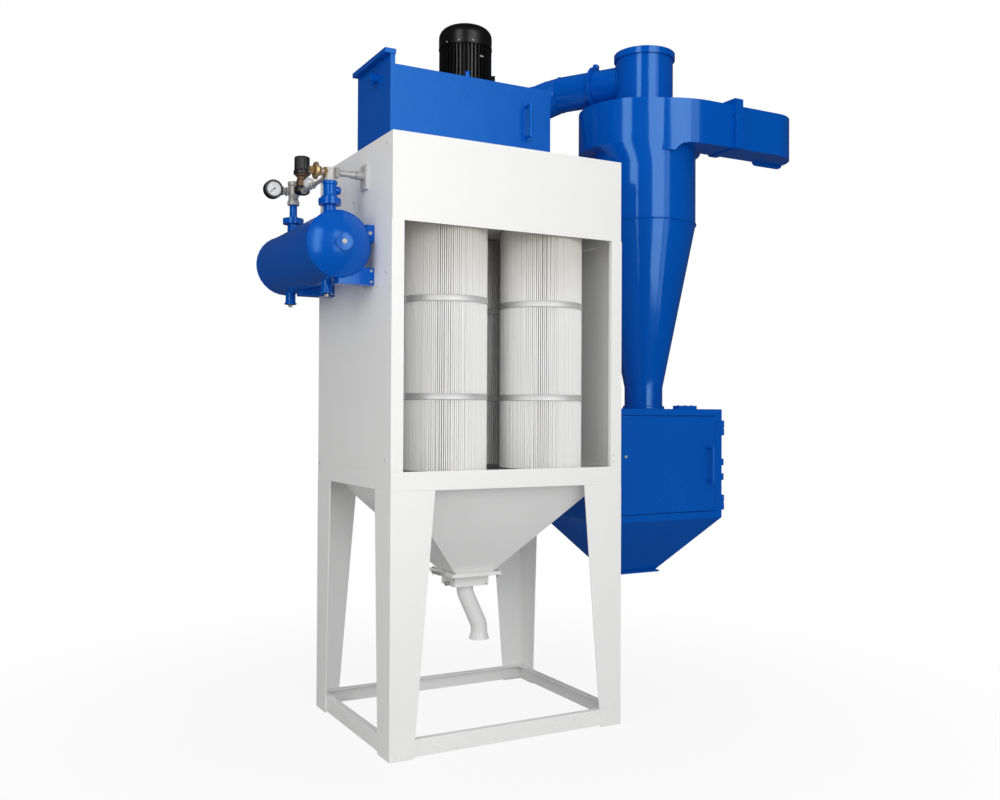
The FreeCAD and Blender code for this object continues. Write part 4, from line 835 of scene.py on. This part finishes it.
def skirt():
    """A straight slope from barrel to head, where the head's own radius solves its offset circle.

    The drop follows the sine of the way round, so that both ends run out to nothing."""
    way = np.linspace(0, 1, AROUND)
    heading = np.radians(8 + 112 * way)
    direction = np.stack([-np.sin(heading), -np.cos(heading)], 1)
    along = direction @ HEAD_SHIFT
    outer = along + np.sqrt(along ** 2 + HEAD_RADIUS ** 2 - HEAD_SHIFT @ HEAD_SHIFT) + PROUD
    wave = np.sin(math.pi * np.clip(way * 1.15 + 0.13, 0, 1))
    drop = (10 + 78 * wave) * MM * np.clip((1 - way) * 6, 0.01, 1)
    rise = np.linspace(0, 1, 9)
    slope = BARREL + PROUD + (outer - BARREL)[:, None] * rise
    height = HEAD_FLOOR + 1 * MM - drop[:, None] * (1 - rise)
    inside = np.full((AROUND, 1), BARREL - 3 * MM)
    radius = np.concatenate([inside, slope, inside], 1)
    level = np.concatenate([height[:, :1], height, np.full((AROUND, 1), HEAD_FLOOR + 1 * MM)], 1)
    ring = np.stack([axis_x + radius * direction[:, :1], axis_y + radius * direction[:, 1:], level], -1)
    ends = [np.broadcast_to(ring[i].mean(0), ring[:1].shape) for i in (0, -1)]
    return np.concatenate([ends[0], ring, ends[1]])


Piece("cyclone_skirt").grid(skirt(), wrap_v=True).done(blue_smooth, angle=50)

# %% [markdown]
# The dust box has screws in its front frame, clamps with split halves at its right edge, screws in the
# hinges at the left and a pad with three small bolts on top. Pieces on the door itself ride with the door.

# %% Dust box fittings
BOX_FRONT = -0.292
CLAMP_X, _, pad = node_box("dust_box")[1]
dust = Piece("dust_box_screws")
spots = [(0.796, BOX_FRONT, 1.2165)] + [(x, BOX_FRONT, 0.787) for x in (0.712, 0.799, 0.955)]
dots(dust, spots, FRONT, 7 * MM)
dots(dust, [(x, -0.262, pad) for x in (0.870, 0.905, 0.940)], UP, 8 * MM)
dots(dust, [(x * MM, -0.29 + 8 * MM, 1.2335) for x in (668, 711)], UP, 6 * MM)
dust.done(blue_smooth)
clamps = Piece("dust_box_clamp_parts")
for low in (0.803, 0.837, 1.121, 1.155):
    clamps.box((CLAMP_X - 9 * MM, BOX_FRONT - 3 * MM, low),
               (CLAMP_X + 1.5 * MM, BOX_FRONT + 4 * MM, low + 30 * MM), 2 * MM)
clamps.done(blue_smooth)
spots = [(0.526, BOX_FRONT - 3 * MM, level) for level in (0.860, 0.880, 1.110, 1.130)]
dots(Piece("dust_box_hinge_screws"), spots, FRONT, 6 * MM).done(zinc)
dots(Piece("door_screw"), [(0.579, BOX_FRONT - 2 * MM, 1.037)], FRONT, 13 * MM).done(zinc, body="door")

# %% [markdown]
# A thin lip closes most of the gap round the door on its three free sides. It stops short of the hinges.

# %% Lip of the dust box door
LIP_FRONT, LIP_BACK, LIP_OUT = -0.2938, -0.2906, 3.6 * MM
LIP_LEFT, LEAF_RIGHT, LEAF_BOTTOM, LEAF_TOP = 0.562, 1.038, 0.805, 1.199
LIP_RIGHT = LEAF_RIGHT + LIP_OUT
lip = Piece("dust_box_door_lip")
for left, bottom, top in ((LIP_LEFT, LEAF_TOP - 1 * MM, LEAF_TOP + LIP_OUT),
                          (LIP_LEFT, LEAF_BOTTOM - LIP_OUT, LEAF_BOTTOM + 1 * MM),
                          (LEAF_RIGHT - 1 * MM, LEAF_BOTTOM, LEAF_TOP)):
    lip.box((left, LIP_FRONT, bottom), (LIP_RIGHT, LIP_BACK, top), 0.5 * MM)
lip.done(blue_sheet, body="door")

# %% [markdown]
# Bolts clamp the gate between the hopper's flange and its own. The blade's edge sticks out to the left
# with a rolled grip, and a short shaft end shows below it.

# %% Slide gate fittings
gate_high = node_box("slide_gate")[1]
FLANGE_BOTTOM = gate_high[2] - 14 * MM
edge = gate_high[0] - 12 * MM
gate = Piece("slide_gate_bolts")
spots = [(x * edge, y * edge) for x in (-1, 1) for y in (-1, 1)]
bolts(gate, [(x, y, gate_high[2]) for x, y in spots], UP, 8 * MM)
bolts(gate, [(x, y, FLANGE_BOTTOM) for x, y in spots], DOWN, 8 * MM)
scatter(gate, spindle(10, 0, (2.5, -14), (2.5, 0)), [(x, y, FLANGE_BOTTOM) for x, y in spots], UP)
dots(gate, [(63 * MM, -62 * MM, 0.531)], FRONT, 8 * MM)
shaft = spindle(24, 0, (7, 0), (7, 8), (10, 9), (10, 15), (8, 17))
gate.put(shaft, (-75 * MM, -8 * MM, 0.534), LEFT)
gate.done(zinc)
blade = Piece("slide_gate_blade")
blade.box((-0.122, -42 * MM, 0.5745), (-0.104, 42 * MM, 0.5775), 1 * MM)
roll = spindle(20, 0, (5, 0), (6, 1), (6, 83), (5, 84))
blade.put(roll, (-0.124, -42 * MM, 0.576), BACK)
blade.done(zinc)

# %% [markdown]
# The air tank is a small pressure vessel: domed ends welded on, a screwed hub in the front one, flanged
# nozzles on top and drains below. Its fittings are what gives this side of the machine its scale.

# %% Tank beads, hub and drains
NOZZLE_FRONT, NOZZLE_REAR = -0.1285, 0.3145
DRAIN_YS = (-98.5 * MM, 0.3445)
FLANGE = (1.967, 1.989)
tank_low, tank_high = node_box("air_tank_shell")
(tank_x, _, tank_z), TANK_RADIUS = round_node("air_tank_shell")
_, tank_front, tank_foot = node_box("air_tank_ends")[0]
drain_level = tank_foot - 47 * MM
tank = Piece("air_tank_beads_and_rims")
for y in (tank_low[1], tank_high[1]):
    bead(tank, (tank_x, y, tank_z), TANK_RADIUS + 0.4 * MM, BACK, sides=128)
seam = mm((40, -1.2), (41.8, -1.2), (41.8, 1.2), (40, 1.2))
for y in (NOZZLE_FRONT, NOZZLE_REAR):
    bead(tank, (tank_x, y, FLANGE[0]), 23.4 * MM, UP, 1.8 * MM, 48)
    tank.loop(turned(seam, 64), (tank_x, y, sum(FLANGE) / 2 + 4 * MM))
disc = spindle(56, 0.8, (32, -1), (32, 3), (29, 3), (28, 2))
tank.put(disc, (tank_x, tank_front, tank_z), FRONT)
rim = rounded(mm((0, 0), (24, 0), (24, 7), (19, 7), (19, 9)), 1.5 * MM)
plugs = Piece("air_tank_plugs_and_bolts")
for y in DRAIN_YS:
    tank.put(turned(rim, 40), (tank_x, y, drain_level))
    scatter(plugs, hexagon_head(15 * MM), [(tank_x, y, drain_level)], DOWN)
tank.done(blue_smooth)
bolts(plugs, [(tank_x, tank_front - 2 * MM, tank_z)], FRONT, 9 * MM)
for y in (-0.227, 0.203):
    bolts(plugs, [(-0.502, y, 1.860)], FRONT, 7 * MM)
    for shift in (-20, 20):
        bolts(plugs, [(-0.497, y, 1.7035 + shift * MM)], FRONT, 5 * MM)
plugs.done(zinc)

# %% [markdown]
# The valve body over the front nozzle is a blue casting with a ribbed collar. A brass cap faces left,
# a union joins the pipe, and a thin plate with two screws carries the pipe at the cabinet's wall.

# %% Pulse valve, brass cap and union
SUPPLY_Z = 2.087
SIDE_PIPE_Z = SUPPLY_Z - 10 * MM
PLATE_Z = 2.081
hexagon = spindle(6, 0, (19, 0), (21, 2), (21, 13), (19, 15))
small_nut = mm((0, 0), (13, 0), (14, 1.5), (14, 10), (13, 11), (0, 11))


def front_line(piece, shape, x, axis):
    """A shape on the front pipe's line, at a place along it."""
    return piece.put(shape, (x * MM, NOZZLE_FRONT, SUPPLY_Z), axis)


valve = Piece("pulse_valve_body")
profile = spindle(48, 2, (30, 0), (30, 9), (24, 12), (24, 50), (27, 53), (27, 64), (21, 67))
valve.put(profile, (tank_x, NOZZLE_FRONT, FLANGE[1]))
boss = spindle(32, 1.5, (15, 0), (15, 36), (12, 39))
valve.put(boss, (tank_x, NOZZLE_FRONT, FLANGE[1] + 33 * MM), RIGHT)
valve.done(blue_smooth)
cap = Piece("supply_brass_cap")
front_line(cap, spindle(48, 0, (31.5, 0), (31.5, 7), (28, 10.5)), -671.5, LEFT)
front_line(cap, hexagon_head(26 * MM), -682, LEFT)
for x in (-668, -647):
    front_line(cap, spindle(6, 0, (17, 0), (18, 1.5), (18, 11), (16, 12)), x, RIGHT)
cap.done(brass)
union = Piece("supply_pipe_nuts")
front_line(union, hexagon, -604, RIGHT)
front_line(union, turned(small_nut, 24), -541, RIGHT)
union.put(spun(hexagon, 0.3), (tank_x, NOZZLE_FRONT, 2.054))
for y in (-102, 60, 172, 284):
    union.put(turned(small_nut, 6), (tank_x, y * MM, SIDE_PIPE_Z), BACK)
union.done(zinc)
face = raised(rectangle(60 * MM, 94 * MM, 4 * MM), mm((-1, 0), (8, 0), (9.5, 1.5)))
Piece("supply_wall_plate").put(face, (-0.484, NOZZLE_FRONT, PLATE_Z), LEFT).done(galvanised)
dots(Piece("supply_plate_screws"),
     [(-0.4935, NOZZLE_FRONT, PLATE_Z + shift * MM) for shift in (-38, 38)], LEFT, 8 * MM).done(zinc)

# %% [markdown]
# Two gauges read the pressure. A dial is drawn as real geometry: a white face, fine ticks round three
# quarters of a circle and a needle that rests near zero, under a slightly bowed glass.


# %% Round gauges
DIAL, BEZEL_INSIDE, BEZEL_MOUTH = 0.76, 0.78, 0.75


def gauge(name, middle, radius, thick, case, needle, replaces=()):
    """A gauge that faces forward. Its case runs back from the bezel's front, its marks lie on the face."""
    middle = np.asarray(middle, float)
    dial = radius * DIAL
    rim = rounded([(0, 0), (radius - 2 * MM, 0), (radius, 3 * MM), (radius, thick - 3 * MM),
                   (radius - 1 * MM, thick), (radius * BEZEL_INSIDE, thick),
                   (radius * BEZEL_MOUTH, thick - 3 * MM)], 1.5 * MM)
    shell = Piece(name + "_case").put(turned(rim, 56), middle + [0, thick, 0], FRONT)
    shell.done(case, replaces=replaces, slot="regulator_black")
    face = turned([(0, 0), (dial, 0), (dial, 1 * MM), (0, 1 * MM)], 48)
    level = middle + [0, 4.5 * MM, 0]
    Piece(name + "_face").put(face, level, FRONT).done(dial_white)
    marks = Piece(name + "_marks")
    front = level - [0, 1 * MM, 0]
    for step in range(25):
        long = radius * (0.1 if step % 4 == 0 else 0.05)
        wide = radius * (0.02 if step % 4 == 0 else 0.009)
        tick = raised(rectangle(long, wide, wide * 0.3, 1), mm((-0.2, 0), (0.4, 0)))
        tick = spun(tick + [radius * 0.7 - long / 2, 0, 0], math.radians(225 - 270 * step / 24))
        marks.put(tick, front, FRONT)
    hand = np.array([(-0.2, -0.06), (0.56, -0.016), (0.56, 0.016), (-0.2, 0.06)]) * radius
    marks.put(spun(raised(hand, mm((0.8, 0), (1.3, 0))), math.radians(needle)), front, FRONT)
    pin = turned([(0, 0), (radius * 0.09, 0), (radius * 0.09, 2 * MM), (0, 2.4 * MM)], 16)
    marks.put(pin, front, FRONT)
    marks.done(dial_black)
    bow = np.linspace(0, 1, 6)
    top = np.column_stack([dial * (1 - bow), 0.8 * MM + 1.2 * MM * (1 - (1 - bow) ** 2)])
    lens = np.concatenate([[(0, 0), (dial, 0)], top])
    Piece(name + "_glass").put(turned(lens, 48), front - [0, 2 * MM, 0], FRONT).done(lens_glass)


TEE_Z = 2.097
REGULATOR_Z = 2.094
gauge("tank_gauge", (-0.709, 0.2845, TEE_Z), 36.9 * MM, 36 * MM, black_plastic, 222,
      ["pressure_gauge"])
gauge("regulator_gauge", (tank_x + 4 * MM, 0.1145, REGULATOR_Z), 23 * MM, 20 * MM, galvanised, 200)

# %% [markdown]
# A short neck and a galvanised tee stand on the rear nozzle. The gauge screws into the tee's left side,
# and the side pipe leaves it towards the front.

# %% Neck and tee of the rear gauge
neck = spindle(36, 1.5, (19, 0), (19, 6), (15, 9), (15, 54))
Piece("gauge_neck").put(neck, (tank_x, NOZZLE_REAR, FLANGE[1])).done(blue_smooth)
tee = Piece("gauge_tee")
upright = spindle(32, 1.5, (24, 0), (24, 16), (20, 19), (20, 76), (23, 79), (23, 93), (20, 95))
tee.put(upright, (tank_x, NOZZLE_REAR, 2.043))
nipple = spindle(24, 1, (11, 0), (11, 62))
tee.put(nipple, (tank_x - 12 * MM, NOZZLE_REAR, TEE_Z), LEFT)
for x in (-644, -662):
    tee.put(turned(small_nut * [1.3, 1], 6), (x * MM, NOZZLE_REAR, TEE_Z), LEFT)
side_arm = spindle(28, 1, (15, 0), (15, 24), (12, 26))
tee.put(side_arm, (tank_x, NOZZLE_REAR, SIDE_PIPE_Z), FRONT)
tee.done(zinc)

# %% [markdown]
# The regulator is turned by a ribbed knob on a brown bronze neck. Its wide bowl below is black.

# %% Regulator
REG_Y = 0.2045
RIBS = 28
turn_step = np.arange(RIBS * 6) * 2 * math.pi / (RIBS * 6)
grip = 0.9 * MM * np.abs(np.sin(turn_step * RIBS / 2))
knob = spindle(RIBS * 6, 3, (30, 0), (30, 50), (26, 54))
knob[..., :2] *= (1 - grip / (30 * MM))[:, None, None]
regulator = Piece("air_regulator_knob").put(knob, (tank_x, REG_Y, 2.161))
collar = spindle(56, 2, (33, 0), (33, 14), (30, 16))
regulator.put(collar, (tank_x, REG_Y, 2.145))
bowl = spindle(48, 3, (20, 0), (31, 8), (31, 27), (24, 33))
regulator.put(bowl, (tank_x, REG_Y, 2.066))
regulator.done(black_plastic, replaces=["air_regulator"])
body = Piece("air_regulator_body")
waist = spindle(40, 2, (22, 0), (22, 30), (19, 34), (19, 44), (26, 47), (26, 54))
body.put(waist, (tank_x, REG_Y, 2.0915))
stem = spindle(20, 1, (6, 0), (6, 74))
body.put(stem, (tank_x, REG_Y - 2 * MM, REGULATOR_Z), FRONT)
body.put(turned(small_nut, 6), (tank_x, REG_Y - 50 * MM, REGULATOR_Z), FRONT)
body.done(bronze)

# %% [markdown]
# A pale floor runs out to white, so that the machine keeps its soft shadow on a white ground.

# %% Stage
GLOW_STARTS, GLOW_FULL = 0.6, 3.0
FLOOR_HALF, FLOOR_LINES = 40, 9


def pale_floor():
    """A matt grey that gives way to plain white with the distance from the middle, for the camera only."""
    finish = Finish("pale_floor", Base_Color=0.6, Roughness=0.7, Specular_IOR_Level=0.2)
    reach = finish.node("ShaderNodeVectorMath", {"operation": "LENGTH"},
                        {0: finish.node("ShaderNodeTexCoord", output=3)}, output=1)
    far = finish.between(reach, GLOW_STARTS, GLOW_FULL, 0.9, 1.0)
    seen = finish.node("ShaderNodeLightPath")
    glow = finish.node("ShaderNodeEmission", {}, {"Color": 1, "Strength": 1.0})
    matt = Value(finish, finish.shader.outputs[0])
    finish.feed(finish.surface, finish.node("ShaderNodeMixShader", {}, {0: seen * far, 1: matt, 2: glow}))
    return finish.material


side = np.linspace(-FLOOR_HALF, FLOOR_HALF, FLOOR_LINES)
across, along = np.meshgrid(side, side, indexing="ij")
ground = np.stack([across, along, 0 * across], -1)
floor_mesh = bpy.data.meshes.new("floor")
sheet = Piece("floor").grid(ground)
floor_mesh.from_pydata(sheet.points[0], [], sheet.faces[0])
floor_mesh.materials.append(pale_floor())
floor = added("floor", floor_mesh)
floor.visible_glossy = False
print("floor reaches", side[-1], "m")

# %% [markdown]
# The world is white to the camera, an even light to matt surfaces and dark in mirrored rays. Wide lamps
# light the machine without a mirror image, and three tall ones show only as stripes on the enamel.

# %% World and lamps
bpy.context.scene.world = bpy.data.worlds.new("studio")
studio = Graph(bpy.context.scene.world)


def background(colour, strength):
    return studio.node("ShaderNodeBackground", {}, {"Color": colour, "Strength": strength})


def choose(ray, otherwise, chosen):
    """One background for a kind of ray, another for the rest."""
    is_chosen = studio.node("ShaderNodeLightPath", output=ray)
    return studio.node("ShaderNodeMixShader", {}, {0: is_chosen, 1: otherwise, 2: chosen})


ambient = background((1.0, 0.995, 0.985), 0.42)
dusk = background((0.9, 0.95, 1.0), 0.05)
mirrored = choose("Is Glossy Ray", ambient, dusk)
shown = choose("Is Camera Ray", mirrored, background(1, 1.0))
studio.feed(studio.tree.nodes.new("ShaderNodeOutputWorld").inputs[0], shown)


LAMP_AIM = 1.5


def soft_box(name, heading, distance, height, width, tall, brightness, mirror=False, middle=(0.3, 0.0)):
    """A lamp that stands in a direction, in degrees from the front towards the left, and looks in.

    It either lights matt surfaces or shows only as a mirror image."""
    angle = math.radians(heading)
    x, y = middle
    spot = np.array([x - math.sin(angle) * distance, y - math.cos(angle) * distance, height])
    lamp = bpy.data.lights.new(name, "AREA")
    lamp.shape = "RECTANGLE"
    lamp.size, lamp.size_y = width, tall
    lamp.energy = brightness * math.pi * width * tall
    thing = added(name, lamp)
    look = np.array([x, y, LAMP_AIM]) - spot
    thing.location = spot
    thing.rotation_euler = Matrix(facing(-look).tolist()).to_euler()
    thing.visible_camera = False
    thing.visible_glossy = mirror
    thing.visible_diffuse = not mirror


soft_box("soft_box_front", 13.5, 5.0, 2.6, 3.2, 3.6, 3.0)
soft_box("soft_box_left", 68, 5.0, 3.0, 2.6, 3.6, 2.0)
soft_box("soft_box_top", 0, 0.5, 5.2, 3.5, 3.5, 0.9)
stripes = {"front": (5, 2.8, 5.0), "right": (-15, 1.2, 2.4), "left": (58, 1.7, 5.0)}
for side, (heading, wide, brightness) in stripes.items():
    soft_box("stripe_box_" + side, heading, 6.0, 2.7, wide, 5.6, brightness, True, (0.8, -0.1))
